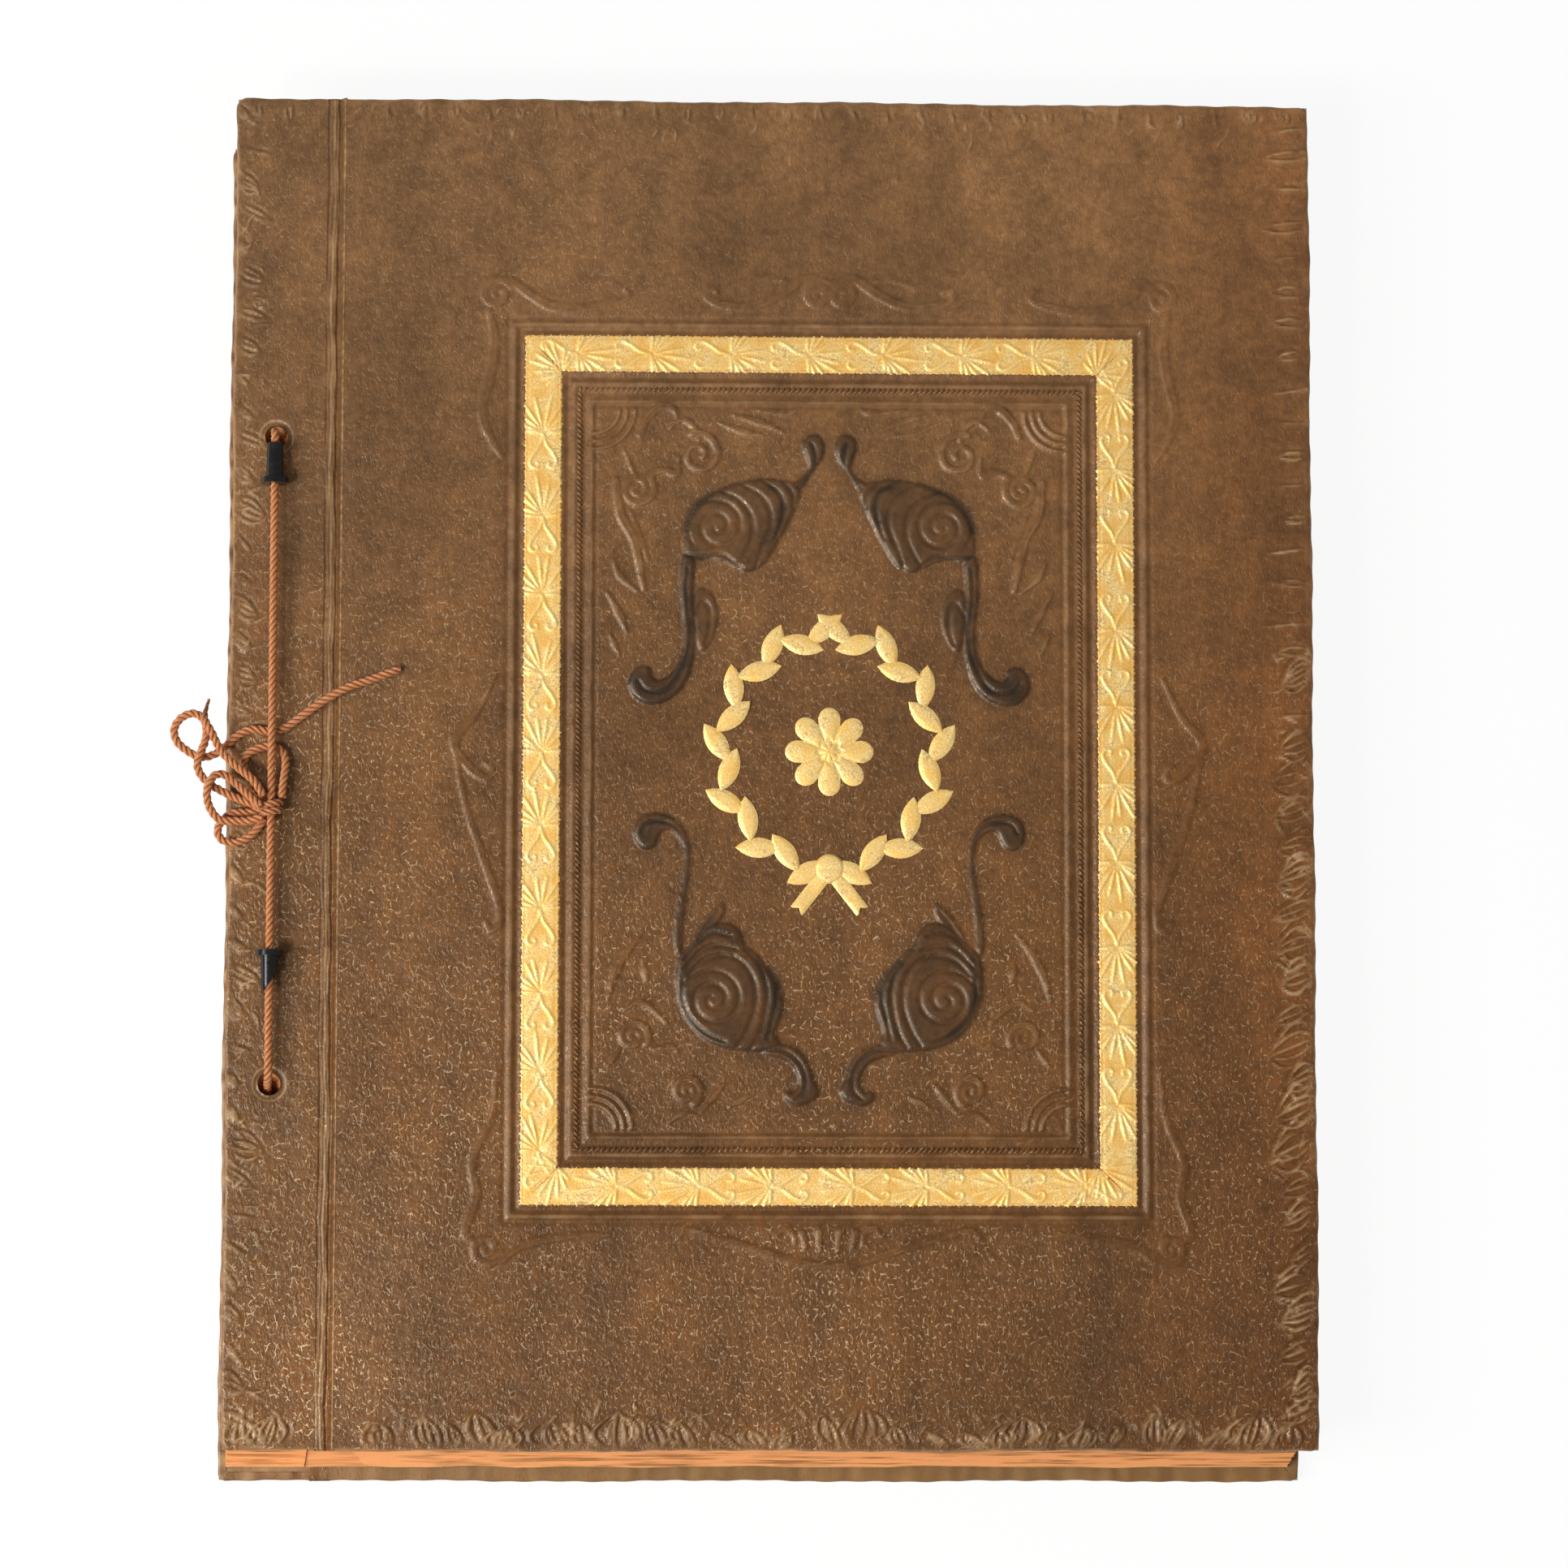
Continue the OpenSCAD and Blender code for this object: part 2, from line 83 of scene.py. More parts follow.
def makeMesh(name, points, faces, material, attributes=None, normals=None):
    mesh = bpy.data.meshes.new(name)
    mesh.from_pydata(np.asarray(points, float) * mm, [], [list(f) for f in faces])
    for key, values in (attributes or {}).items():
        layer = mesh.attributes.new(key, "FLOAT", "POINT")
        layer.data.foreach_set("value", np.asarray(values, np.float32))
    mesh.materials.append(material)
    mesh.shade_smooth()
    mesh.update()
    if normals is not None:
        mesh.normals_split_custom_set_from_vertices(np.asarray(normals, float).tolist())
    piece = bpy.data.objects.new(name, mesh)
    scene.collection.objects.link(piece)
    return piece


def bakeNodes(holder, name):
    graph = bpy.context.evaluated_depsgraph_get()
    mesh = bpy.data.meshes.new_from_object(holder.evaluated_get(graph), preserve_all_data_layers=True, depsgraph=graph)
    holder.modifiers.clear()
    bpy.data.objects.remove(holder)
    mesh.name = name
    piece = bpy.data.objects.new(name, mesh)
    scene.collection.objects.link(piece)
    return piece


def newTree(name, sockets):
    tree = bpy.data.node_groups.new(name, "GeometryNodeTree")
    tree.interface.new_socket("Geometry", in_out="INPUT", socket_type="NodeSocketGeometry")
    for label, kind, value in sockets:
        socket = tree.interface.new_socket(label, in_out="INPUT", socket_type=kind)
        if value is not None:
            socket.default_value = value
    tree.interface.new_socket("Geometry", in_out="OUTPUT", socket_type="NodeSocketGeometry")
    return tree, addNode(tree, "NodeGroupInput").outputs


# inputs are set by their sockets' identifiers
def useTree(holder, tree, values):
    modifier = holder.modifiers.new(tree.name, "NODES")
    modifier.node_group = tree
    for item in tree.interface.items_tree:
        if item.item_type == "SOCKET" and item.in_out == "INPUT" and item.name in values:
            modifier[item.identifier] = values[item.name]


# camera: a long lens nearly overhead, tilted a little from the tail side
cameraSet = {"place": (-0.04464, -0.14824, 1.46511), "turn": (5.885, -1.96, 0.083), "lens": 118.32}
camera = bpy.data.objects.new("albumCamera", bpy.data.cameras.new("albumCamera"))
camera.data.lens = cameraSet["lens"]
camera.data.sensor_width = 36
camera.data.sensor_fit = "HORIZONTAL"
camera.data.clip_end = 20
camera.location = cameraSet["place"]
camera.rotation_euler = [math.radians(a) for a in cameraSet["turn"]]
scene.collection.objects.link(camera)
scene.camera = camera
scene.view_settings.view_transform = "Standard"

# light: a broad softbox at the spine side, a smaller one at the tail, and a pale room
lightSet = {"room": 0.33, "tint": "#fffdfa", "key": 16.0, "tail": 11.0}
world = bpy.data.worlds.new("paleRoom")
scene.world = world
world.use_nodes = True
tree = world.node_tree
tree.nodes.clear()
ray = addNode(tree, "ShaderNodeLightPath")
seen = addNode(tree, "ShaderNodeMath", {0: ray.outputs["Is Camera Ray"], 1: ray.outputs["Is Transmission Ray"]},
               operation="MAXIMUM")
level = addNode(tree, "ShaderNodeMapRange", {"Value": seen, "To Min": lightSet["room"], "To Max": 1.0})
room = addNode(tree, "ShaderNodeBackground", {"Color": hexColour(lightSet["tint"]), "Strength": level})
addNode(tree, "ShaderNodeOutputWorld", {"Surface": room})


def softbox(name, place, aim, size, power):
    data = bpy.data.lights.new(name, "AREA")
    data.shape = "RECTANGLE"
    data.size, data.size_y = size
    data.energy = power
    lamp = bpy.data.objects.new(name, data)
    lamp.location = place
    lamp.rotation_euler = (Vector(aim) - Vector(place)).to_track_quat("-Z", "Y").to_euler()
    scene.collection.objects.link(lamp)


softbox("spineSoftbox", (-1.1, -0.3, 1.0), (0, 0, 0), (0.55, 0.55), lightSet["key"])
softbox("tailSoftbox", (-0.72, -0.55, 1.4), (0, -0.05, 0), (0.26, 0.26), lightSet["tail"])

# floor: white sweep paper that stays white to the camera and keeps a soft shadow
floorSet = {"half": 30000, "level": -0.6, "paper": "#f4f3f1", "white": "#ffffff", "whiteShare": 0.92}
floorMaterial = bpy.data.materials.new("sweepPaperMatt")
floorMaterial.use_nodes = True
tree = floorMaterial.node_tree
tree.nodes.clear()
paper = addNode(tree, "ShaderNodeBsdfDiffuse", {"Color": hexColour(floorSet["paper"])})
white = addNode(tree, "ShaderNodeEmission", {"Color": hexColour(floorSet["white"]), "Strength": 1.0})
ray = addNode(tree, "ShaderNodeLightPath")
seen = addNode(tree, "ShaderNodeMath", {0: ray.outputs["Is Camera Ray"], 1: ray.outputs["Is Glossy Ray"]},
               operation="MAXIMUM")
share = addNode(tree, "ShaderNodeMath", {0: seen, 1: floorSet["whiteShare"]}, operation="MULTIPLY")
both = addNode(tree, "ShaderNodeMixShader", {0: share, 1: paper, 2: white})
addNode(tree, "ShaderNodeOutputMaterial", {"Surface": both})
floorCorners = [(sx * floorSet["half"], sy * floorSet["half"], floorSet["level"])
                for sx, sy in ((-1, -1), (1, -1), (1, 1), (-1, 1))]
floor = makeMesh("sweepFloor", floorCorners, [(0, 1, 2, 3)], floorMaterial)
print("camera, light and floor are set")


# materials: each reads the piece's Object coordinates and ends in one shader
def startMaterial(name):
    material = bpy.data.materials.new(name)
    material.use_nodes = True
    material.node_tree.nodes.clear()
    place = addNode(material.node_tree, "ShaderNodeTexCoord").outputs["Object"]
    return material, material.node_tree, place


def endMaterial(tree, inputs):
    shader = addNode(tree, "ShaderNodeBsdfPrincipled", inputs)
    addNode(tree, "ShaderNodeOutputMaterial", {"Surface": shader})


# sheepskin, pebbled by a heated plate and waxed: small rounded grains with dark creases, glossier on the grains,
# faded in streaks down the skin, and with glints of light painted as pale broken lines towards the tail and the spine
leatherSet = {
    "head": "#7f5a38", "middle": "#6b4522", "tail": "#623c18", "red": "#743f16", "sheen": "#fff0d8",
    # the rubbed colour is the pale colour of the painted glints
    "rubbed": "#d2b58c", "scuff": "#a98d68", "stainAndShade": "#241a13",
    "grainMm": 1.2, "grainLong": 0.46, "fineMm": 0.55, "lumpMm": 2.0, "warpMm": 2.5, "nudgeMm": 1.8,
    "patchMm": 55, "mottleMm": 7.6923, "shareMm": 4.1667, "scratchMm": 1.1111, "dripMm": 17, "dripLong": 0.2,
    "glintGapMm": (1.8, 2.5), "glintWide": 0.085, "glintMm": 1.25,   # painted glints, drawn wider than real ones so that they show
}


def leatherMaterial(name, grainDepth, wornColour, paleShare):
    material, tree, place = startMaterial(name)
    warp = addNode(tree, "ShaderNodeTexNoise", {"Vector": place, "Scale": 1000 / leatherSet["warpMm"], "Detail": 2.0})
    nudge = addNode(tree, "ShaderNodeVectorMath", {0: warp.outputs["Color"], 1: [leatherSet["nudgeMm"] * mm] * 3},
                    operation="MULTIPLY")
    bent = addNode(tree, "ShaderNodeVectorMath", {0: place, 1: nudge}, operation="ADD")
    drawn = addNode(tree, "ShaderNodeMapping", {"Vector": bent, "Scale": (1.0, leatherSet["grainLong"], 1.0)})
    grain, fine = (addNode(tree, "ShaderNodeTexVoronoi", {"Vector": drawn, "Scale": 1000 / leatherSet[key]},
                           feature="DISTANCE_TO_EDGE") for key in ("grainMm", "fineMm"))
    pebble = addNode(tree, "ShaderNodeMapRange", {"Value": grain, "From Max": 0.32}, interpolation_type="SMOOTHSTEP")
    crumb = addNode(tree, "ShaderNodeMapRange", {"Value": fine, "From Max": 0.3, "To Max": 0.35},
                    interpolation_type="SMOOTHSTEP")
    patch = addNode(tree, "ShaderNodeTexNoise", {"Vector": place, "Scale": 1000 / leatherSet["patchMm"], "Detail": 5.0,
                                                 "Roughness": 0.6})
    mottle = addNode(tree, "ShaderNodeTexNoise", {"Vector": place, "Scale": 1000 / leatherSet["mottleMm"],
                                                  "Detail": 4.0})
    patchy = addNode(tree, "ShaderNodeTexNoise", {"Vector": place, "Scale": 1000 / leatherSet["shareMm"],
                                                  "Detail": 2.0})
    share = addNode(tree, "ShaderNodeMapRange", {"Value": patchy, "From Min": 0.38, "From Max": 0.62,
                                                 "To Min": 0.25})
    grained = addNode(tree, "ShaderNodeMath", {0: pebble, 1: share}, operation="MULTIPLY")
    skin = addNode(tree, "ShaderNodeMath", {0: grained, 1: crumb}, operation="ADD")
    lumps = addNode(tree, "ShaderNodeTexNoise", {"Vector": bent, "Scale": 1000 / leatherSet["lumpMm"],
                                                 "Detail": 3.0})
    swell = addNode(tree, "ShaderNodeMath", {0: lumps, 1: 1.6, 2: mottle}, operation="MULTIPLY_ADD")
    rise = addNode(tree, "ShaderNodeMath", {0: skin, 1: 0.5, 2: swell}, operation="MULTIPLY_ADD")
    flat = addNode(tree, "ShaderNodeAttribute", attribute_name="pressed")
    depth = addNode(tree, "ShaderNodeMapRange", {"Value": flat.outputs["Fac"], "To Min": 0.5, "To Max": 0.14})
    bump = addNode(tree, "ShaderNodeBump", {"Height": rise, "Strength": depth, "Distance": grainDepth * mm})

    # colour from tail to head, redder at the fore-edge; lighter towards the head, partly as painted light that makes up
    # for the lamps falling off towards it
    axes = addNode(tree, "ShaderNodeSeparateXYZ", {0: place})
    base = hexColour(leatherSet["tail"])
    for colour, start, end in (("middle", -0.2, 0.0), ("head", 0.0, 0.2)):
        part = addNode(tree, "ShaderNodeMapRange", {"Value": axes.outputs["Y"], "From Min": start, "From Max": end})
        base = addNode(tree, "ShaderNodeMix", {0: part, 6: base, 7: hexColour(leatherSet[colour])},
                       data_type="RGBA").outputs[2]
    side = addNode(tree, "ShaderNodeMapRange", {"Value": axes.outputs["X"], "From Min": 0.085, "From Max": 0.155,
                                                "To Max": 0.6}, interpolation_type="SMOOTHSTEP")
    redder = addNode(tree, "ShaderNodeMath", {0: side, 1: patch}, operation="MULTIPLY")
    base = addNode(tree, "ShaderNodeMix", {0: redder, 6: base, 7: hexColour(leatherSet["red"])},
                   data_type="RGBA").outputs[2]

    # tones that multiply it: what drives each, its span, and how far it darkens and lightens
    hung = addNode(tree, "ShaderNodeMapping", {"Vector": place, "Scale": (1.0, leatherSet["dripLong"], 1.0)})
    drips = addNode(tree, "ShaderNodeTexNoise", {"Vector": hung, "Scale": 1000 / leatherSet["dripMm"], "Detail": 3.0})
    # painted light: lighter towards the lower-left and upper-right corners, darker towards the other two, for the
    # lamps' sheen
    sheenCorners = addNode(tree, "ShaderNodeMath", {0: axes.outputs["X"], 1: axes.outputs["Y"]}, operation="MULTIPLY")
    for driver, start, end, dark, light in (
            (patch, 0.3, 0.7, 0.76, 1.2), (drips, 0.32, 0.68, 0.84, 1.17),
            (mottle, 0.3, 0.7, 0.84, 1.13), (sheenCorners, -0.025, 0.025, 0.86, 1.2),
            (lumps, 0.32, 0.68, 0.8, 1.18), (skin, 0.0, 1.1, 0.88, 1.04)):
        tone = addNode(tree, "ShaderNodeMapRange", {"Value": driver, "From Min": start, "From Max": end, "To Min": dark,
                                                    "To Max": light})
        base = addNode(tree, "ShaderNodeMix", {0: 1.0, 6: base, 7: tone}, data_type="RGBA",
                       blend_type="MULTIPLY").outputs[2]

    # wear, scuffs, painted glints, and the stain with painted shade
    worn = addNode(tree, "ShaderNodeAttribute", attribute_name="wear")
    rub = addNode(tree, "ShaderNodeMath", {0: worn.outputs["Fac"], 1: mottle}, operation="MULTIPLY")
    rubbed = addNode(tree, "ShaderNodeMapRange", {"Value": rub, "From Min": 0.12, "From Max": 0.62})
    scratch = addNode(tree, "ShaderNodeTexNoise", {"Vector": place, "Scale": 1000 / leatherSet["scratchMm"],
                                                   "Detail": 3.0, "Roughness": 0.7})
    flaw = addNode(tree, "ShaderNodeMath", {0: scratch, 1: patch}, operation="MULTIPLY")
    flecks = addNode(tree, "ShaderNodeMapRange", {"Value": flaw, "From Min": 0.47, "From Max": 0.56, "To Max": 0.6})
    # painted glints: pale broken lines on a network of cells, more towards the tail and the spine, none where the skin
    # is pressed
    gapX, gapY = leatherSet["glintGapMm"]
    cells = addNode(tree, "ShaderNodeMapping", {"Vector": bent, "Scale": (1000 / gapX, 1000 / gapY, 0.0)})
    net = addNode(tree, "ShaderNodeTexVoronoi", {"Vector": cells, "Scale": 1.0}, feature="DISTANCE_TO_EDGE",
                  voronoi_dimensions="2D")
    thread = addNode(tree, "ShaderNodeMapRange", {"Value": net, "From Min": leatherSet["glintWide"],
                                                  "From Max": 0.3 * leatherSet["glintWide"]})
    breaks = addNode(tree, "ShaderNodeTexNoise", {"Vector": place, "Scale": 1000 / leatherSet["glintMm"],
                                                  "Detail": 1.0})
    pick = addNode(tree, "ShaderNodeMapRange", {"Value": breaks, "From Min": 0.52, "From Max": 0.63})
    where = addNode(tree, "ShaderNodeMapRange", {"Value": patch, "From Min": 0.42, "From Max": 0.62, "To Min": 0.35})
    lower = addNode(tree, "ShaderNodeMapRange", {"Value": axes.outputs["Y"], "From Min": 0.12, "From Max": -0.1,
                                                 "To Min": 0.2, "To Max": 0.85})
    nearer = addNode(tree, "ShaderNodeMapRange", {"Value": axes.outputs["X"], "From Min": 0.1, "From Max": -0.14,
                                                  "To Min": 0.65, "To Max": 1.5})
    paintedGlints = addNode(tree, "ShaderNodeMath", {0: 1.0, 1: flat.outputs["Fac"]}, operation="SUBTRACT", use_clamp=True)
    for factor in (thread, pick, where, nearer, lower):
        paintedGlints = addNode(tree, "ShaderNodeMath", {0: paintedGlints, 1: factor}, operation="MULTIPLY")
    # the stain attribute holds the scrolls' dark dye and also painted shade in the hinge's grooves and the holes' walls
    stainShadeAt = addNode(tree, "ShaderNodeAttribute", attribute_name="stainAndShade")
    smoky = addNode(tree, "ShaderNodeMapRange", {"Value": mottle, "From Min": 0.3, "From Max": 0.7, "To Min": 1.12,
                                                 "To Max": 0.72})
    stainShadeMix = addNode(tree, "ShaderNodeMath", {0: stainShadeAt.outputs["Fac"], 1: smoky}, operation="MULTIPLY",
                    use_clamp=True)
    for factor, colour in ((paleShare, wornColour), (rubbed, wornColour),
                           (flecks, leatherSet["scuff"]), (paintedGlints, leatherSet["rubbed"]),
                           (stainShadeMix, leatherSet["stainAndShade"])):
        base = addNode(tree, "ShaderNodeMix", {0: factor, 6: base, 7: hexColour(colour)}, data_type="RGBA").outputs[2]
    gloss = addNode(tree, "ShaderNodeMapRange", {"Value": skin, "From Max": 1.2, "To Min": 0.47, "To Max": 0.21})
    endMaterial(tree, {"Base Color": base, "Roughness": gloss, "Normal": bump, "IOR": 1.5,
                       "Specular Tint": hexColour(leatherSet["sheen"])})
    return material


coverLeather = leatherMaterial("sheepskinPebbledWaxed", 0.3, "#b5946c", 0.0)
innerLeather = leatherMaterial("sheepskinTurnedInRubbed", 0.2, "#957348", 0.4)

# gold leaf stamped on leather: a yellow metal skin over the grain, rubbed through to brown in specks, with painted
# shade in the ground between its raised strokes
giltSet = {"gold": "#ffd074", "light": "#ffeaa6", "deep": "#e6aa4c", "bare": "#b07c36",
           "grainMm": 0.9, "cloudMm": 6.25, "speckMm": 0.76923, "depthMm": 0.2}


def giltMaterial():
    material, tree, place = startMaterial("goldLeafStamped")
    grain = addNode(tree, "ShaderNodeTexVoronoi", {"Vector": place, "Scale": 1000 / giltSet["grainMm"]},
                    feature="DISTANCE_TO_EDGE")
    cloud = addNode(tree, "ShaderNodeTexNoise", {"Vector": place, "Scale": 1000 / giltSet["cloudMm"], "Detail": 5.0,
                                                 "Roughness": 0.65})
    speck = addNode(tree, "ShaderNodeTexNoise", {"Vector": place, "Scale": 1000 / giltSet["speckMm"], "Detail": 3.0,
                                                 "Roughness": 0.7})
    worn = addNode(tree, "ShaderNodeAttribute", attribute_name="wear")
    loss = addNode(tree, "ShaderNodeMath", {0: speck, 1: cloud}, operation="ADD")
    more = addNode(tree, "ShaderNodeMath", {0: worn.outputs["Fac"], 1: 0.12, 2: loss}, operation="MULTIPLY_ADD")
    bare = addNode(tree, "ShaderNodeMapRange", {"Value": more, "From Min": 1.07, "From Max": 1.24, "To Max": 0.7})
    tint = addNode(tree, "ShaderNodeMapRange", {"Value": cloud, "From Min": 0.35, "From Max": 0.68})
    pit = addNode(tree, "ShaderNodeMapRange", {"Value": grain, "From Max": 0.2, "To Min": 0.5, "To Max": 0.0})
    # painted shade: deeper, more orange gold in the ground between the raised strokes
    ground = addNode(tree, "ShaderNodeAttribute", attribute_name="pressed")
    hollowShadeShare = addNode(tree, "ShaderNodeMapRange", {"Value": cloud, "From Min": 0.62, "From Max": 0.4, "To Max": 0.6})
    hollowShade = addNode(tree, "ShaderNodeMath", {0: ground.outputs["Fac"], 1: hollowShadeShare}, operation="MULTIPLY")
    base = hexColour(giltSet["gold"])
    for factor, colour in ((tint, "light"), (pit, "deep"), (hollowShade, "deep"), (bare, "bare")):
        base = addNode(tree, "ShaderNodeMix", {0: factor, 6: base, 7: hexColour(giltSet[colour])},
                       data_type="RGBA").outputs[2]
    metal = addNode(tree, "ShaderNodeMath", {0: bare, 1: -0.28, 2: 0.28}, operation="MULTIPLY_ADD")
    rise = addNode(tree, "ShaderNodeMath", {0: grain, 1: speck}, operation="ADD")
    bump = addNode(tree, "ShaderNodeBump", {"Height": rise, "Strength": 0.4, "Distance": giltSet["depthMm"] * mm})
    endMaterial(tree, {"Base Color": base, "Metallic": metal, "Roughness": 0.42, "Normal": bump})
    return material


gilt = giltMaterial()

# rayon cord, spun and plied: silky copper yarns, with shade painted darker in the dips between them
cordSet = {"light": "#d08b52", "yarn": "#b56b38", "dip": "#5c3018", "yarns": 9.0, "yarnMm": 0.9, "fuzzMm": 1.4286,
           "depthMm": 0.12}


def cordMaterial():
    material, tree, place = startMaterial("rayonCordPlied")
    along, around, dip = (addNode(tree, "ShaderNodeAttribute", attribute_name=name).outputs["Fac"]
                          for name in ("along", "around", "dip"))
    turn = addNode(tree, "ShaderNodeMath", {0: around, 1: cordSet["yarns"]}, operation="MULTIPLY")
    run = addNode(tree, "ShaderNodeMath", {0: along, 1: 1000 / cordSet["yarnMm"], 2: turn}, operation="MULTIPLY_ADD")
    wave = addNode(tree, "ShaderNodeMath", {0: run, 1: 2 * math.pi}, operation="MULTIPLY")
    ridge = addNode(tree, "ShaderNodeMath", {0: wave}, operation="SINE")
    yarn = addNode(tree, "ShaderNodeMapRange", {"Value": ridge, "From Min": -1.0, "From Max": 1.0})
    fuzz = addNode(tree, "ShaderNodeTexNoise", {"Vector": place, "Scale": 1000 / cordSet["fuzzMm"], "Detail": 4.0})
    dull = addNode(tree, "ShaderNodeMapRange", {"Value": fuzz, "From Min": 0.35, "From Max": 0.7})
    base = hexColour(cordSet["yarn"])
    for factor, colour in ((yarn, "light"), (dull, "yarn"), (dip, "dip")):
        base = addNode(tree, "ShaderNodeMix", {0: factor, 6: base, 7: hexColour(cordSet[colour])},
                       data_type="RGBA").outputs[2]
    bump = addNode(tree, "ShaderNodeBump", {"Height": yarn, "Strength": 0.35, "Distance": cordSet["depthMm"] * mm})
    endMaterial(tree, {"Base Color": base, "Roughness": 0.46, "Normal": bump, "Sheen Weight": 0.25,
                       "Sheen Roughness": 0.4})
    return material


cordYarn = cordMaterial()

# polystyrene, moulded: black with a fine haze and small rub marks
plasticSet = {"black": "#080909", "rubbed": "#121314", "hazeMm": 1.1111, "rubMm": 3.8462, "depthMm": 0.1}


def plasticMaterial():
    material, tree, place = startMaterial("polystyreneMoulded")
    haze = addNode(tree, "ShaderNodeTexNoise", {"Vector": place, "Scale": 1000 / plasticSet["hazeMm"], "Detail": 4.0})
    rub = addNode(tree, "ShaderNodeTexNoise", {"Vector": place, "Scale": 1000 / plasticSet["rubMm"], "Detail": 6.0,
                                               "Distortion": 1.2})
    tone = addNode(tree, "ShaderNodeMapRange", {"Value": rub, "From Min": 0.45, "From Max": 0.7})
    base = addNode(tree, "ShaderNodeMix", {0: tone, 6: hexColour(plasticSet["black"]),
                                           7: hexColour(plasticSet["rubbed"])}, data_type="RGBA").outputs[2]
    gloss = addNode(tree, "ShaderNodeMapRange", {"Value": rub, "From Min": 0.3, "From Max": 0.7, "To Min": 0.14,
                                                 "To Max": 0.28})
    bump = addNode(tree, "ShaderNodeBump", {"Height": haze, "Strength": 0.12,
                                            "Distance": plasticSet["depthMm"] * mm})
    endMaterial(tree, {"Base Color": base, "Roughness": gloss, "Normal": bump, "IOR": 1.59,
                       "Specular IOR Level": 0.35})
    return material


blackPlastic = plasticMaterial()

# wood-pulp papers and boards, aged: warm tan with darker fibres, orange where the edges have browned
paperSet = {"streak": "#96602f", "gap": "#9c5f36", "cloudMm": 45.4545, "streakMm": 3.3333, "sheetMm": 0.41667,
            "depthMm": 0.15}


def paperMaterial(name, light, dark, edge, fibreMm, gapShadeShare=0.0, cut=0.0):
    material, tree, place = startMaterial(name)
    stretch = addNode(tree, "ShaderNodeMapping", {"Vector": place, "Scale": (1.0, 4.0, 4.0)})
    fibre = addNode(tree, "ShaderNodeTexNoise", {"Vector": stretch, "Scale": 250 / fibreMm, "Detail": 6.0,
                                                 "Roughness": 0.65})
    cloud = addNode(tree, "ShaderNodeTexNoise", {"Vector": place, "Scale": 1000 / paperSet["cloudMm"], "Detail": 4.0})
    blend = addNode(tree, "ShaderNodeMath", {0: fibre, 1: 0.5, 2: cloud}, operation="MULTIPLY_ADD")
    tone = addNode(tree, "ShaderNodeMapRange", {"Value": blend, "From Min": 0.55, "From Max": 0.95})
    # streaks run along the sheets' edges, and so does shade painted darker in the gaps between the stacked sheets
    drawn = addNode(tree, "ShaderNodeMapping", {"Vector": place, "Scale": (0.12, 0.15, 4.0)})
    streak = addNode(tree, "ShaderNodeTexNoise", {"Vector": drawn, "Scale": 1000 / paperSet["streakMm"],
                                                  "Detail": 3.0})
    browner = addNode(tree, "ShaderNodeMapRange", {"Value": streak, "From Min": 0.5, "From Max": 0.64,
                                                   "To Max": 0.9})
    browned = addNode(tree, "ShaderNodeMix", {0: browner, 6: hexColour(edge),
                                              7: hexColour(paperSet["streak"])}, data_type="RGBA")
    rim = addNode(tree, "ShaderNodeAttribute", attribute_name="edge")
    bound = addNode(tree, "ShaderNodeMath", {0: rim.outputs["Fac"], 1: cut}, operation="MAXIMUM")
    level = addNode(tree, "ShaderNodeMapping", {"Vector": place, "Scale": (0.02, 0.02, 1.0)})
    sheets = addNode(tree, "ShaderNodeTexNoise", {"Vector": level, "Scale": 1000 / paperSet["sheetMm"], "Detail": 1.0})
    gapShade = addNode(tree, "ShaderNodeMapRange", {"Value": sheets, "From Min": 0.5, "From Max": 0.66,
                                                "To Max": gapShadeShare})
    base = hexColour(light)
    for factor, colour in ((tone, hexColour(dark)), (bound, browned.outputs[2]), (gapShade, hexColour(paperSet["gap"]))):
        base = addNode(tree, "ShaderNodeMix", {0: factor, 6: base, 7: colour}, data_type="RGBA").outputs[2]
    bump = addNode(tree, "ShaderNodeBump", {"Height": fibre, "Strength": 0.25, "Distance": paperSet["depthMm"] * mm})
    endMaterial(tree, {"Base Color": base, "Roughness": 0.85, "Normal": bump, "IOR": 1.45})
    return material


leafPaper = paperMaterial("woodPulpPaperAged", "#dfb88c", "#cb9e70", "#e39c60", 0.6)
guardPaper = paperMaterial("woodPulpCardAged", "#e39c60", "#cf8a50", "#e39c60", 0.8, 0.35, 0.85)
liningPaper = paperMaterial("liningPaperPasted", "#cdb088", "#b4946a", "#cdb088", 0.5)
greyBoard = paperMaterial("pulpBoardPressed", "#94897a", "#7d7264", "#94897a", 1.2)
print("materials are made")


# cord: three plies twisted round each other, following one route
cordShape = {"diameter": 2.4, "pitch": 5.8, "stepMm": 0.4, "plies": 3, "ringPoints": 9, "routeSteps": 6}


def smoothRoute(points, steps):
    p = np.array(points, float)
    p = np.vstack([2 * p[0] - p[1], p, 2 * p[-1] - p[-2]])
    out = []
    for i in range(1, len(p) - 2):
        a, b, c, d = p[i - 1], p[i], p[i + 1], p[i + 2]
        for s in range(steps):
            u = s / steps
            out.append(0.5 * (2 * b + u * (c - a) + u * u * (2 * a - 5 * b + 4 * c - d)
                              + u ** 3 * (3 * b - a - 3 * c + d)))
    out.append(p[-2])
    return np.array(out)


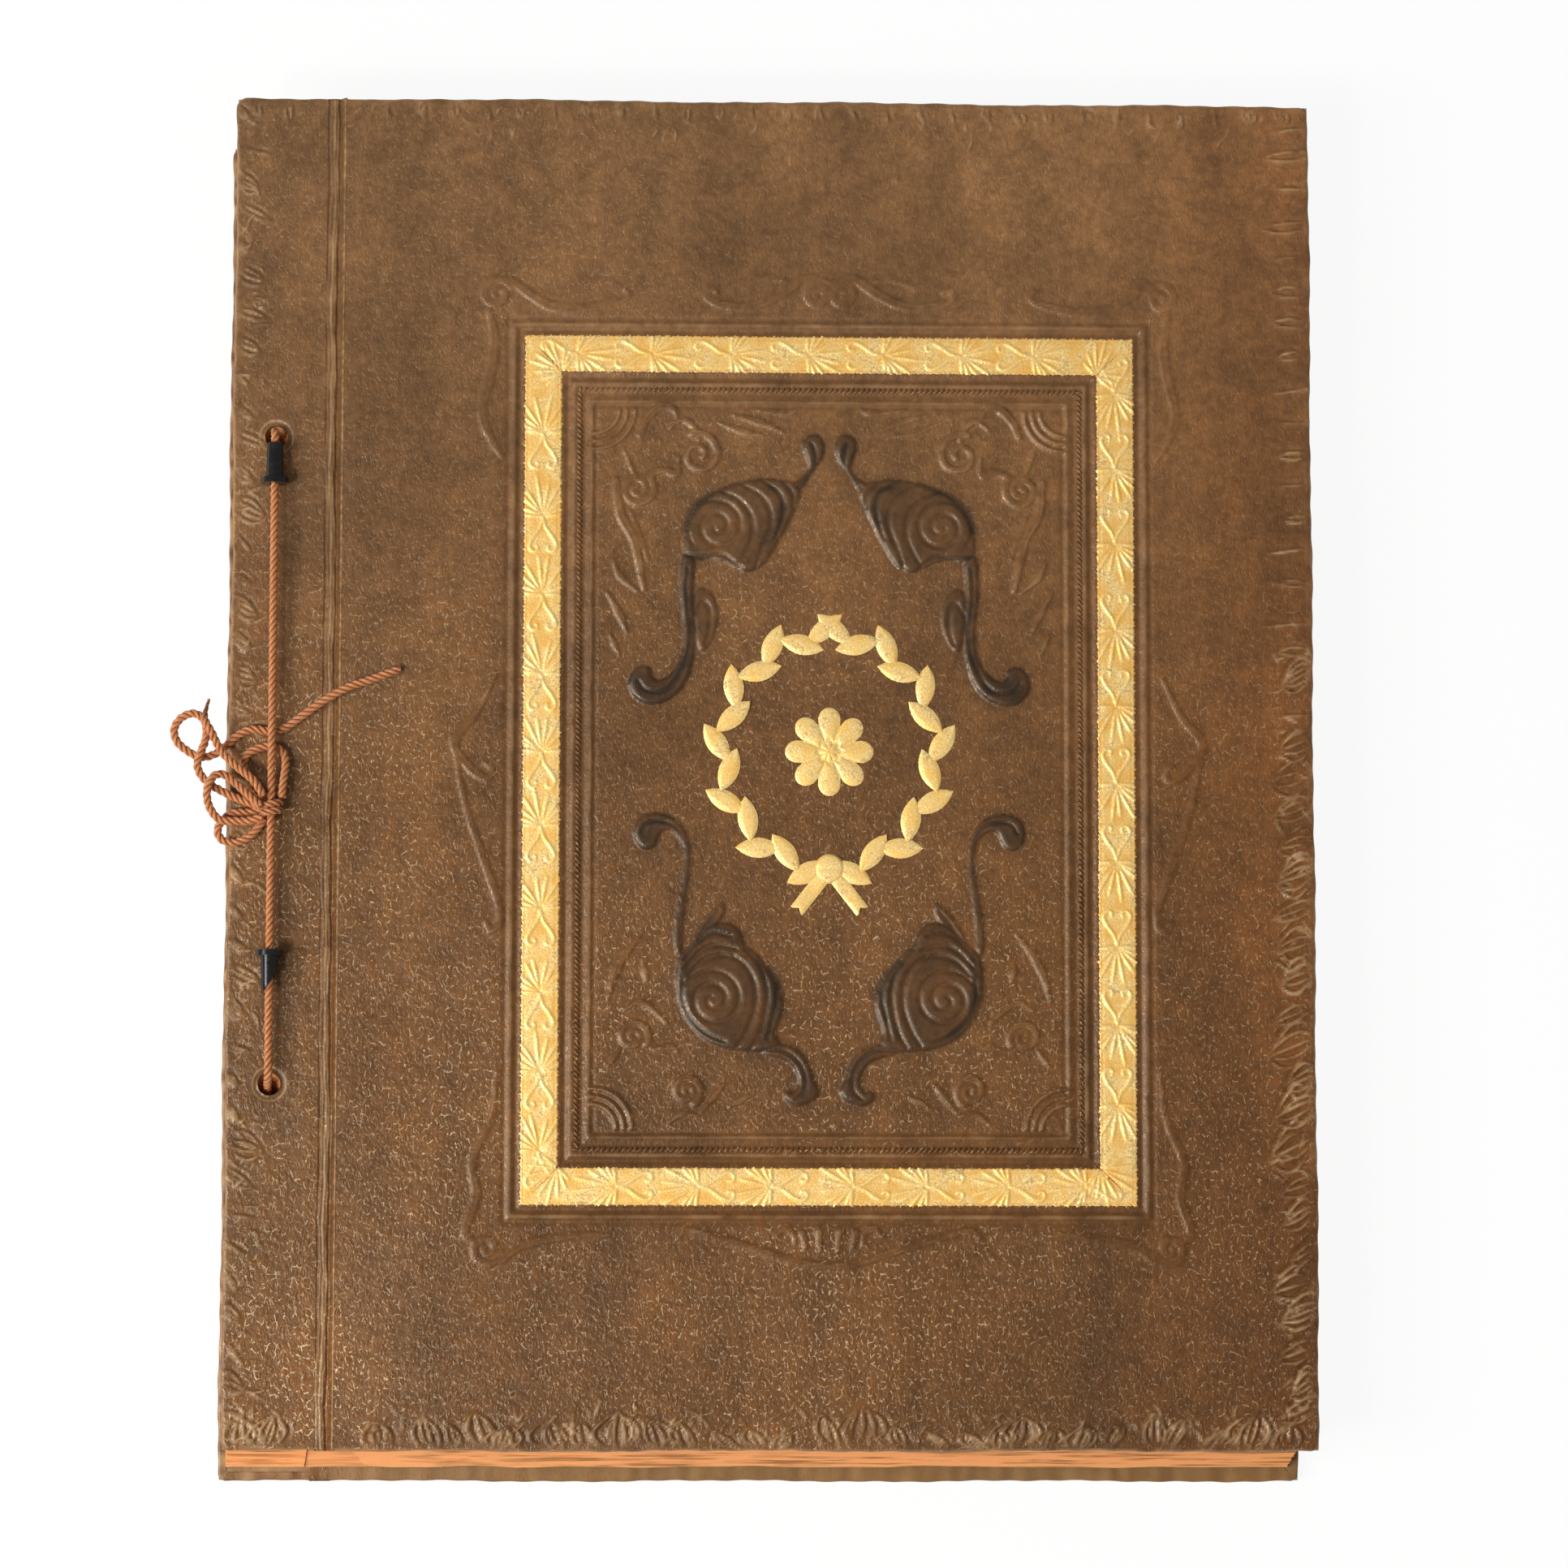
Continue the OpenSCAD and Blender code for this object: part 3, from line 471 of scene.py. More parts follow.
def cordTree():
    tree, given = newTree("pliedCord", [
        ("Ply radius", "NodeSocketFloat", 0.00056), ("Ply offset", "NodeSocketFloat", 0.00064),
        ("Twist pitch", "NodeSocketFloat", 0.0058), ("Step", "NodeSocketFloat", 0.0004),
        ("Tip length", "NodeSocketFloat", 0.0), ("Tip size", "NodeSocketFloat", 1.0),
        ("Material", "NodeSocketMaterial", None)])
    even = addNode(tree, "GeometryNodeResampleCurve", {"Curve": given["Geometry"], "Length": given["Step"]},
                   mode="LENGTH")
    spline = addNode(tree, "GeometryNodeSplineParameter")
    tangent = addNode(tree, "GeometryNodeInputTangent")
    normal = addNode(tree, "GeometryNodeInputNormal")
    binormal = addNode(tree, "ShaderNodeVectorMath", {0: tangent, 1: normal}, operation="CROSS_PRODUCT")
    tip = addNode(tree, "ShaderNodeMapRange", {"Value": spline.outputs["Length"], "From Max": given["Tip length"],
                                               "To Min": given["Tip size"], "To Max": 1.0},
                  interpolation_type="SMOOTHSTEP")
    reach = addNode(tree, "ShaderNodeMath", {0: tip, 1: given["Ply offset"]}, operation="MULTIPLY")
    turns = addNode(tree, "ShaderNodeMath", {0: spline.outputs["Length"], 1: given["Twist pitch"]}, operation="DIVIDE")
    ring = addNode(tree, "GeometryNodeCurvePrimitiveCircle", {"Resolution": cordShape["ringPoints"],
                                                              "Radius": given["Ply radius"]}, mode="RADIUS")
    ringAt = addNode(tree, "GeometryNodeSplineParameter").outputs["Factor"]
    profile = addNode(tree, "GeometryNodeStoreNamedAttribute", {"Geometry": ring, "Name": "around",
                                                                "Value": ringAt}, data_type="FLOAT", domain="POINT")
    here = addNode(tree, "GeometryNodeInputPosition")
    joined = addNode(tree, "GeometryNodeJoinGeometry")
    for ply in range(cordShape["plies"]):
        angle = addNode(tree, "ShaderNodeMath", {0: turns, 1: 2 * math.pi, 2: 2 * math.pi * ply / cordShape["plies"]},
                        operation="MULTIPLY_ADD")
        cosine = addNode(tree, "ShaderNodeMath", {0: angle}, operation="COSINE")
        sine = addNode(tree, "ShaderNodeMath", {0: angle}, operation="SINE")
        one = addNode(tree, "ShaderNodeVectorMath", {0: normal, "Scale": cosine}, operation="SCALE")
        two = addNode(tree, "ShaderNodeVectorMath", {0: binormal, "Scale": sine}, operation="SCALE")
        away = addNode(tree, "ShaderNodeVectorMath", {0: one, 1: two}, operation="ADD")
        offset = addNode(tree, "ShaderNodeVectorMath", {0: away, "Scale": reach}, operation="SCALE")
        marked = addNode(tree, "GeometryNodeStoreNamedAttribute", {"Geometry": even, "Name": "along",
                                                                   "Value": spline.outputs["Length"]},
                         data_type="FLOAT", domain="POINT")
        thin = addNode(tree, "GeometryNodeSetCurveRadius", {"Curve": marked, "Radius": tip})
        spine = addNode(tree, "GeometryNodeStoreNamedAttribute", {"Geometry": thin, "Name": "axisAt",
                                                                  "Value": here},
                        data_type="FLOAT_VECTOR", domain="POINT")
        moved = addNode(tree, "GeometryNodeSetPosition", {"Geometry": spine, "Offset": offset})
        strand = addNode(tree, "GeometryNodeCurveToMesh", {"Curve": moved,
                                                           "Profile Curve": profile, "Fill Caps": True})
        if "Scale" in strand.inputs:
            tree.links.new(tip.outputs[0], strand.inputs["Scale"])
        tree.links.new(strand.outputs[0], joined.inputs[0])
    # painted shade in the dips: dark where the surface lies close to the cord's axis, but not on a cut end
    axis = addNode(tree, "GeometryNodeInputNamedAttribute", {"Name": "axisAt"}, data_type="FLOAT_VECTOR")
    away = addNode(tree, "ShaderNodeVectorMath", {0: here, 1: axis}, operation="DISTANCE").outputs["Value"]
    full = addNode(tree, "ShaderNodeMath", {0: given["Ply radius"], 1: given["Ply offset"]}, operation="ADD")
    share = addNode(tree, "ShaderNodeMath", {0: away, 1: full}, operation="DIVIDE")
    deep = addNode(tree, "ShaderNodeMapRange", {"Value": share, "From Min": 0.62, "From Max": 0.92, "To Min": 0.85,
                                                "To Max": 0.0})
    run = addNode(tree, "GeometryNodeInputNamedAttribute", {"Name": "along"}, data_type="FLOAT")
    cut = addNode(tree, "ShaderNodeMapRange", {"Value": run, "From Max": 3 * cordShape["stepMm"] * mm})
    shown = addNode(tree, "ShaderNodeMath", {0: deep, 1: cut}, operation="MULTIPLY")
    plyShaded = addNode(tree, "GeometryNodeStoreNamedAttribute", {"Geometry": joined, "Name": "dip",
                                                               "Value": shown}, data_type="FLOAT", domain="POINT")
    clean = addNode(tree, "GeometryNodeRemoveAttribute", {"Geometry": plyShaded, "Name": "axisAt"})
    whole = addNode(tree, "GeometryNodeRealizeInstances", {0: clean})
    soft = addNode(tree, "GeometryNodeSetShadeSmooth", {0: whole})
    done = addNode(tree, "GeometryNodeSetMaterial", {"Geometry": soft, "Material": given["Material"]})
    addNode(tree, "NodeGroupOutput", {0: done})
    return tree


pliedCord = cordTree()


def makeCord(name, route, diameter, tipLength=0.0, tipSize=1.0):
    curve = bpy.data.curves.new(name + "Route", "CURVE")
    curve.dimensions = "3D"
    curve.twist_mode = "MINIMUM"
    spline = curve.splines.new("POLY")
    spline.points.add(len(route) - 1)
    spline.points.foreach_set("co", np.hstack([route * mm, np.ones((len(route), 1))]).ravel())
    holder = bpy.data.objects.new(name + "Route", curve)
    scene.collection.objects.link(holder)
    ply = diameter / 2 / (1 + 2 / math.sqrt(3))
    useTree(holder, pliedCord, {"Ply radius": ply * mm, "Ply offset": 2 / math.sqrt(3) * ply * mm,
                                "Twist pitch": cordShape["pitch"] * mm, "Step": cordShape["stepMm"] * mm,
                                "Tip length": tipLength * mm, "Tip size": tipSize, "Material": cordYarn})
    return bakeNodes(holder, name)


def routeLength(route):
    return float(np.linalg.norm(np.diff(route, axis=0), axis=1).sum())


def dressNode(name, material):
    nodes[name].data.materials.clear()
    nodes[name].data.materials.append(material)


# lacing and knot: how far the taut run stands over the strip, where the knot sits on it, how the lacing bends
lacingSet = {"bend": 4.0, "rise": 4.4, "play": 0.05, "knotY": -12.0, "bendSteps": 9}
knotAt = layerShift(1) + np.array([album["holeX"], lacingSet["knotY"], album["frontStripTop"] + lacingSet["rise"]])

# routes of the bow, from the knot's middle, with heights over the front strip, in mm
bowRoutes = {
    "bow_tail": [
        (35.5, 39, 3.4), (27.5, 36, 3.5), (20.5, 33.5, 3.5), (13.5, 29.5, 2.8), (8.5, 26, 1.8), (4, 22.8, 1.5),
        (0, 21.2, 1.5)],
    "bow_upper_loop": [
        (0, 21.2, 1.5), (-3.5, 21.8, 1.5), (-6.5, 21.8, 1.5), (-10, 20, 1.5), (-13.3, 17, 1.4), (-16.5, 14.8, 1.2),
        (-20.2, 14.2, 1.2), (-23.8, 15.9, 1.3), (-26.7, 18.6, 1.4), (-27.4, 22.1, 1.6), (-25.3, 25.2, 1.9),
        (-21.9, 26.3, 2.3), (-19.2, 24.6, 2.8), (-18.3, 21.8, 3.4), (-18.5, 18.6, 4), (-19.7, 15.2, 4.4),
        (-20.7, 11.8, 4), (-19.7, 8.9, 3.4), (-17.2, 6.4, 3), (-13.8, 4.4, 2.9), (-9, 2.2, 3.4), (-4, 0.3, 4.7)],
    "bow_end": [
        (-17.5, 30, 5.6), (-18.5, 26, 6), (-18.3, 23.6, 6.3), (-16.7, 20.6, 6.2), (-13.8, 15.2, 5.2),
        (-9, 10.6, 5.8), (-4.9, 7.2, 6.6), (-2, 2.8, 6.4)],
    "bow_strand": [
        (2.95, 2.7, 4.4), (3.3, 7, 4.2), (3.8, 11.6, 3.2), (3.1, 15.4, 1.9), (0, 17.2, 1.5), (-3.5, 16.8, 1.5),
        (-6.9, 15, 1.5), (-7.9, 12.2, 1.6), (-6.9, 9.2, 2), (-4.9, 6, 2.4), (-2.45, 2.65, 2.55)],
    "bow_middle_loop": [
        (-2.4, -3, 5.5), (-5.8, -4, 5), (-9, -4.1, 4.6), (-14, -3.8, 4.6), (-16.8, -0.8, 5), (-17.8, 3, 5.6),
        (-17.2, 6.4, 6.1), (-15.4, 8.7, 5.7), (-12.8, 8.7, 5), (-9.8, 6.4, 5.2), (-6.6, 3.4, 6), (-2.5, -0.2, 7.5)],
    "bow_lower_loop": [
        (-3.2, -0.6, 1.95), (-6.5, -1.4, 1.6), (-10.5, -1.6, 1.5), (-13.6, -3.4, 1.4), (-15, -6.4, 1.3),
        (-13.8, -9, 1.4), (-10.4, -9.9, 1.5), (-6.2, -8.2, 1.6), (-3.6, -5.6, 1.9), (-1.9, -3.2, 2.3)],
}
# knot: two turns round the taut run
knotSet = {"radius": 2.4, "turns": 2.0, "spread": 2.1, "diameter": 2.1, "startAngle": 200, "points": 60}
turn = np.linspace(0, 1, knotSet["points"])
angle = 2 * math.pi * knotSet["turns"] * turn + math.radians(knotSet["startAngle"])
wraps = np.stack([knotSet["radius"] * np.cos(angle), knotSet["spread"] * (0.5 - turn) * 2,
                  knotSet["radius"] * np.sin(angle)], 1)
knot = makeCord("bowKnotWraps", knotAt + wraps, knotSet["diameter"])
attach(knot, "binding")
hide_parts("bow_knot")

# cut ends: how long their tips are, and how thin
tips = {"bow_tail": (2.5, 0.82), "bow_end": (9.0, 0.36)}
for name, points in bowRoutes.items():
    route = knotAt + smoothRoute(points, cordShape["routeSteps"]) - np.array([0, 0, lacingSet["rise"]])
    strand = makeCord(name.replace("bow_", "bowCord_"), route, cordShape["diameter"], *tips.get(name, (0.0, 1.0)))
    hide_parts(name)
    if name == "bow_tail":   # the end that lies over the hinge is baked in place, not attached to the binding
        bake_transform(strand)
    else:
        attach(strand, "binding")
    print(name, "cord, mm:", round(routeLength(route), 1))

# lacing: through both holes, taut over the front strip and under the back strip
frontZ = album["frontStripTop"] + lacingSet["rise"]
backZ = cordShape["diameter"] / 2 + lacingSet["play"]
stripGap = album["frontStripTop"] - album["stripT"] - album["backStripZ"]
slope = np.array([album["leanX"], album["leanY"], 0]) / stripGap


def holeAt(k, z):
    return (layerShift(1) + np.array([album["holeX"], album["holeYs"][k], z])
            + slope * (z - album["frontStripTop"] + album["stripT"] / 2))


def frontCorner(k):
    return np.array([knotAt[0], holeAt(k, frontZ)[1], frontZ])


corners = [knotAt, frontCorner(0), holeAt(0, backZ), holeAt(1, backZ), frontCorner(1), knotAt]
lacingRoute = [corners[0]]
for i in range(1, len(corners) - 1):
    back = corners[i - 1] - corners[i]
    ahead = corners[i + 1] - corners[i]
    a = corners[i] + lacingSet["bend"] * back / np.linalg.norm(back)
    b = corners[i] + lacingSet["bend"] * ahead / np.linalg.norm(ahead)
    for u in np.linspace(0, 1, lacingSet["bendSteps"]):
        lacingRoute.append((1 - u) ** 2 * a + 2 * u * (1 - u) * corners[i] + u * u * b)
lacingRoute.append(corners[-1])
lacingRoute = np.array(lacingRoute)
lacing = makeCord("lacingCordPlied", lacingRoute, cordShape["diameter"])
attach(lacing, "binding")
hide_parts("lacing_cord")
print("lacing cord, mm:", round(routeLength(lacingRoute), 1))

for name in ("ferrule_upper", "ferrule_lower"):
    dressNode(name, blackPlastic)


# relief of the front, drawn on a grid over the whole front in mm from the spine edge and the mid-height
reliefSet = {"step": 0.5, "scrollRise": 1.25, "ribDepth": 0.42, "blindRise": 0.75, "outerRise": 0.6, "laceRise": 0.6}
step = reliefSet["step"]
gridU = np.arange(-1, album["coverW"] + 1.01, step)
gridV = np.arange(-halfH - 1, halfH + 1.01, step)
relief = {key: np.zeros((len(gridU), len(gridV))) for key in ("height", "stainAndShade", "wear")}


def pressStroke(field, origin, spacing, points, halfWidth, rise, power=0.8):
    p = np.array(points, float)
    n = len(p)
    w = np.interp(np.linspace(0, 1, n), np.linspace(0, 1, np.size(halfWidth)), np.atleast_1d(halfWidth))
    h = np.interp(np.linspace(0, 1, n), np.linspace(0, 1, np.size(rise)), np.atleast_1d(rise))
    for i in range(n - 1):
        reach = max(w[i], w[i + 1])
        low = np.floor((np.minimum(p[i], p[i + 1]) - reach - origin) / spacing).astype(int)
        high = np.ceil((np.maximum(p[i], p[i + 1]) + reach - origin) / spacing).astype(int) + 1
        low = np.maximum(low, 0)
        high = np.minimum(high, field.shape)
        if (high <= low).any():
            continue
        x = origin[0] + spacing * np.arange(low[0], high[0])[:, None]
        y = origin[1] + spacing * np.arange(low[1], high[1])[None, :]
        run = p[i + 1] - p[i]
        t = np.clip(((x - p[i][0]) * run[0] + (y - p[i][1]) * run[1]) / max(run @ run, 1e-9), 0, 1)
        d = np.hypot(x - p[i][0] - t * run[0], y - p[i][1] - t * run[1])
        wide = np.maximum(w[i] + (w[i + 1] - w[i]) * t, 1e-3)
        value = (h[i] + (h[i + 1] - h[i]) * t) * np.clip(1 - (d / wide) ** 2, 0, 1) ** power
        part = field[low[0]:high[0], low[1]:high[1]]
        np.copyto(part, np.where(np.abs(value) > np.abs(part), value, part))


def spiral(centre, r0, r1, start, turns, count=60):
    u = np.linspace(0, 1, count)
    a = np.radians(start + 360 * turns * u)
    r = r0 + (r1 - r0) * u
    return np.stack([centre[0] + r * np.cos(a), centre[1] + r * np.sin(a)], 1)


def softened(field, count):
    out = field
    for axis in (0, 1):
        pad = [(count, count) if k == axis else (0, 0) for k in (0, 1)]
        run = np.cumsum(np.pad(out, pad, mode="edge"), axis=axis)
        size = out.shape[axis]
        a = np.take(run, np.arange(2 * count, 2 * count + size), axis=axis)
        b = np.take(run, np.arange(0, size), axis=axis)
        out = (a - b) / (2 * count)
    return out


# scrolls in mm from the frame's middle, for the left half: outline, rise, width of its rounded edge, stain
scrollShapes = [
    ([(-41.3, 59.9), (-40.9, 65.2), (-39.6, 69.6), (-37, 74), (-33.5, 77.1), (-29.2, 79.3),
      (-24.1, 80.9), (-18.9, 81.8), (-13.7, 81.4), (-9, 80.5), (-8.2, 78), (-9.2, 74.7), (-11.1, 70.5),
      (-13.3, 66.1), (-15.4, 62.1), (-18, 57.7), (-20.6, 55.7), (-23.6, 55.1), (-27.1, 56.7),
      (-30.1, 58.4), (-34.4, 58.7), (-38.3, 58)],
     0.75, 2.2, 0.62),
    ([(-11.1, 80), (-7.2, 82.4), (-5.8, 84.8), (-6.6, 87.7), (-7.9, 90.8), (-7.2, 93.2), (-5.1, 94.6),
      (-2.5, 94.1), (-1.3, 91.4), (-1.8, 88.1), (-3.4, 85.5), (-5.1, 83.3), (-6.6, 80.9), (-8.4, 78.3)],
     0.8, 2, 0.85),
    ([(-41.5, 61.3), (-42, 54.6), (-42, 49.4), (-41.5, 44.1), (-40.9, 39.7), (-40.9, 35.3),
      (-41.7, 30.9), (-43.7, 26.9), (-46.5, 24.7), (-48.6, 24.2), (-50.1, 25.6), (-49.9, 27.3),
      (-51.5, 28.7), (-54.1, 28.2), (-56, 26), (-56.6, 22.9), (-55.3, 19.8), (-52.3, 17.6),
      (-48.6, 17.4), (-44.7, 18.9), (-41.3, 22), (-39.1, 26.4), (-38.2, 30.9), (-37.8, 35.3),
      (-38.1, 39.7), (-38.4, 44.1), (-38.4, 49.4), (-38.2, 54.6), (-37.5, 58.9)],
     0.75, 1.9, 0.95),
    ([(-38.5, 48.9), (-36.6, 50.9), (-34, 50.1), (-32, 47.2), (-31.1, 43.2), (-31.8, 38.8),
      (-33.5, 34.8), (-35.7, 32.2), (-37.4, 34.2), (-38, 39.7), (-38.5, 45)],
     0.5, 1.8, 0.55),
    ([(-42.4, -53.5), (-40.8, -51.8), (-38.2, -49.1), (-35.6, -46.5), (-32.6, -44.1), (-29.1, -43.4),
      (-26.1, -44.6), (-24.4, -46.9), (-23.8, -50), (-20.7, -52), (-17.8, -55), (-15.2, -59),
      (-13.4, -63.2), (-12.9, -67.6), (-14.3, -71.6), (-15.3, -74.7), (-13.4, -77.2), (-15.3, -79.5),
      (-19.7, -79.7), (-24.8, -79.5), (-30, -78.7), (-35.2, -76.3), (-39.3, -72), (-41.9, -67.2),
      (-42.9, -61.5), (-42.9, -57.1)],
     0.75, 2.2, 0.6),
    ([(-43.3, -52.7), (-43.3, -43.9), (-42.2, -37.7), (-41, -31.5), (-40.5, -26.2), (-41, -22.3),
      (-42.5, -19.2), (-44.7, -17.7), (-46.8, -18), (-47.8, -19.9), (-48.8, -22.4), (-50.7, -23.6),
      (-53, -22.9), (-54.7, -20.5), (-54.9, -17.4), (-53.4, -14.3), (-49.8, -12.8), (-45.9, -13.3),
      (-42.3, -15.3), (-40, -18.6), (-38.8, -23.4), (-38.8, -28.9), (-39.8, -35), (-40.7, -41.2),
      (-41.2, -47.4), (-41.2, -53.2)],
     0.7, 1.8, 0.7),
    ([(-38.6, -49.3), (-37.3, -46.1), (-35.2, -43), (-32.6, -39.9), (-29.6, -37.2), (-29, -39.9),
      (-30.3, -43), (-32, -44.3), (-35.2, -46.9)],
     0.5, 1.6, 0.5),
    ([(-19.7, -79.4), (-15.3, -77.2), (-11, -77.9), (-7.6, -79.8), (-5.3, -83.9), (-4.4, -87.9),
      (-2.7, -90.3), (-3.5, -92.9), (-7.2, -94.7), (-10.6, -94.7), (-12.9, -92.5), (-12.5, -90.4),
      (-10.2, -91.1), (-8.7, -89.5), (-8.6, -86.6), (-10.3, -83.3), (-13.6, -81.5), (-17.9, -80.6)],
     0.7, 1.8, 0.7),
]
scrollEyes = ((-31.6, 68.0), (-32.4, -65.2))
# grooves between their ribs
scrollRibs = [
    spiral(scrollEyes[0], 8.6, 0.9, 215, -2.1),
    spiral(scrollEyes[1], 8.8, 0.9, 150, -2.1),
    [(-31.4, 78.3), (-25.8, 75.8), (-22.3, 71.4), (-21.6, 66.1), (-23.6, 60.8), (-25.8, 57.1)],
    [(-24.9, 80), (-19.7, 77.1), (-17, 73.1), (-16.7, 67.9), (-18.9, 62.6), (-21, 56.2)],
    [(-18.9, 81.1), (-14.6, 78), (-13, 74), (-13.7, 69.6), (-15.4, 64.8)],
    [(-13.3, 80.9), (-10.6, 77.6), (-10.3, 73.6)],
    [(-40.3, 59.9), (-34.4, 59.4), (-30.1, 59.9), (-24.9, 56.4)],
    [(-39.9, 56.4), (-40.3, 51.1), (-39.9, 44.1), (-39.2, 37.9), (-39.7, 32.6), (-41.3, 28.2),
     (-43.9, 23.4), (-47.3, 21.2), (-51.6, 21.6), (-53.7, 24.2)],
    [(-9.2, 79.1), (-5.8, 83.3), (-4.1, 87.2), (-4.6, 90.8), (-5.4, 92)],
    [(-37.7, 43.2), (-35.7, 46.5), (-33.7, 44.5), (-33.7, 38.8), (-35.1, 34.8)],
    [(-27, -52.7), (-23.1, -56.2), (-20.7, -61.5), (-20.7, -67.6), (-22.9, -73.8), (-25.7, -78.2)],
    [(-23.5, -50.9), (-19.2, -56.2), (-17.4, -62.4), (-17.8, -68.5), (-19.5, -74.7), (-21.8, -78.7)],
    [(-19.7, -53.7), (-15.7, -59.3), (-14.7, -65), (-15.9, -70.3), (-17.2, -76.5)],
    [(-40.8, -54), (-36.9, -49.3), (-32.6, -46.7), (-27.4, -47.4)],
    [(-40.2, -56.2), (-36, -51.8), (-31.7, -50), (-25.7, -51.1)],
    [(-39.3, -58.4), (-35.2, -54.3), (-30, -52.8), (-24.8, -54.3)],
    [(-40.8, -59.7), (-41, -65), (-38.8, -70.3), (-34.3, -74.7), (-29.1, -76.9)],
    [(-42.2, -50), (-41.9, -42.1), (-40.7, -35), (-39.7, -28), (-40.2, -22.7), (-42.1, -17.9),
     (-45.9, -15.5), (-50.7, -15.7), (-52.8, -18.5)],
    [(-18.8, -79.5), (-12.8, -79.4), (-8.8, -82.2), (-6.6, -86.6), (-6.9, -90.6), (-9.1, -92.8)],
    [(-36.9, -48.1), (-33.9, -44), (-30.7, -40.2)],
]
# where the stain is darkest: points, half widths, stain
scrollSmoke = [
    ([(-17.2, 79.3), (-12, 77.6), (-13.3, 71.4), (-17.2, 63.5)], [2, 4, 4, 2], 0.9),
    ([(-40.3, 67), (-38.5, 72.3), (-33.5, 76.5), (-25.8, 79.8)], [1.5, 2.2, 2, 1.5], 0.95),
    ([(-40.2, -52.7), (-40.8, -59.7), (-40.3, -66.8), (-36, -73.8), (-30, -77.3)], [2, 2.6, 2.8, 2.4, 1.5], 0.95),
    ([(-20.5, -54.4), (-15.8, -61.5), (-15.3, -68.5), (-18.8, -75.6)], [2, 3.6, 3.6, 2], 0.95),
    ([(-36, -49.1), (-31.7, -45.6), (-26.6, -46.5)], [2, 2.6, 2], 0.85),
    ([(-53.3, -20.1), (-52, -15.7), (-46.4, -14.8)], [2, 2.6, 2], 1),
]
# undyed leaf strokes of the panel: points, half widths, rise
blindStrokes = [
    (spiral((-54.2, 78.7), 4.8, 0.6, 40, -1.9), [0.9, 0.7], 1.0),
    ([(-60, 81), (-59, 72), (-55, 64), (-52.5, 52), (-52, 49.5)], [0.9, 1.3, 0.9, 0.2], 1.0),
    ([(-56, 72), (-53, 64), (-51, 58)], [0.3, 0.9, 0.2], 0.8),
    ([(-61, 59), (-59, 54), (-54, 49.5)], [0.2, 0.9, 0.3], 0.9),
    ([(-63, 50), (-59, 43), (-57, 38)], [0.2, 1.0, 0.3], 0.9),
    ([(-62, 38), (-59, 31.5)], [0.2, 0.8, 0.2], 0.8),
    ([(-58, 90), (-54, 82), (-47, 84), (-43, 83), (-42.5, 88)], [0.3, 0.7, 1.0, 0.4], 0.8),
    (spiral((-36.8, 88.6), 6.2, 1.2, 110, -1.4), [0.9, 0.6], 1.0),
    ([(-53.5, 94), (-52, 98), (-48, 102), (-44, 101.5), (-43, 99)], [0.8, 1.1, 0.9, 0.3], 0.9),
    ([(-45, 96), (-41.5, 98.5), (-38, 96), (-37, 92.5)], [0.3, 0.8, 0.4], 1.0),
    ([(-32, 98), (-24, 95), (-18, 94)], [0.2, 1.0, 0.2], 0.8),
    ([(-28, 100), (-20, 98), (-13, 95)], [0.2, 1.0, 0.2], 0.8),
    ([(-22, 101.5), (-12, 100.5), (-8.5, 102)], [0.2, 0.9, 0.2], 0.7),
    (spiral((-54.7, -75.4), 4.3, 0.6, -30, 1.8), [0.9, 0.7], 1.0),
    (spiral((-39.7, -90.5), 4.3, 0.6, -60, 1.8), [0.9, 0.7], 1.0),
    ([(-62, -66), (-59, -56), (-52, -46)], [0.2, 1.1, 0.2], 0.9),
    ([(-61, -60), (-57, -52), (-52.5, -48.5)], [0.2, 0.8, 0.2], 0.7),
    ([(-57, -68), (-52, -66), (-45, -72)], [0.3, 0.9, 0.2], 0.8),
    ([(-51, -60), (-52, -55)], [0.3, 0.8, 0.2], 0.9),
    ([(-49, -79), (-44, -78.5), (-42, -80)], [0.3, 0.8, 0.2], 0.8),
    ([(-36, -97), (-32, -92), (-29, -88.5)], [0.2, 0.9, 0.2], 0.9),
    ([(-28, -95), (-22, -92)], [0.2, 0.8, 0.2], 0.8),
    ([(-45, -100), (-41, -97), (-36, -97.5)], [0.2, 0.8, 0.2], 0.8),
    ([(-62, -84), (-58, -79)], [0.2, 0.7, 0.2], 0.8),
]
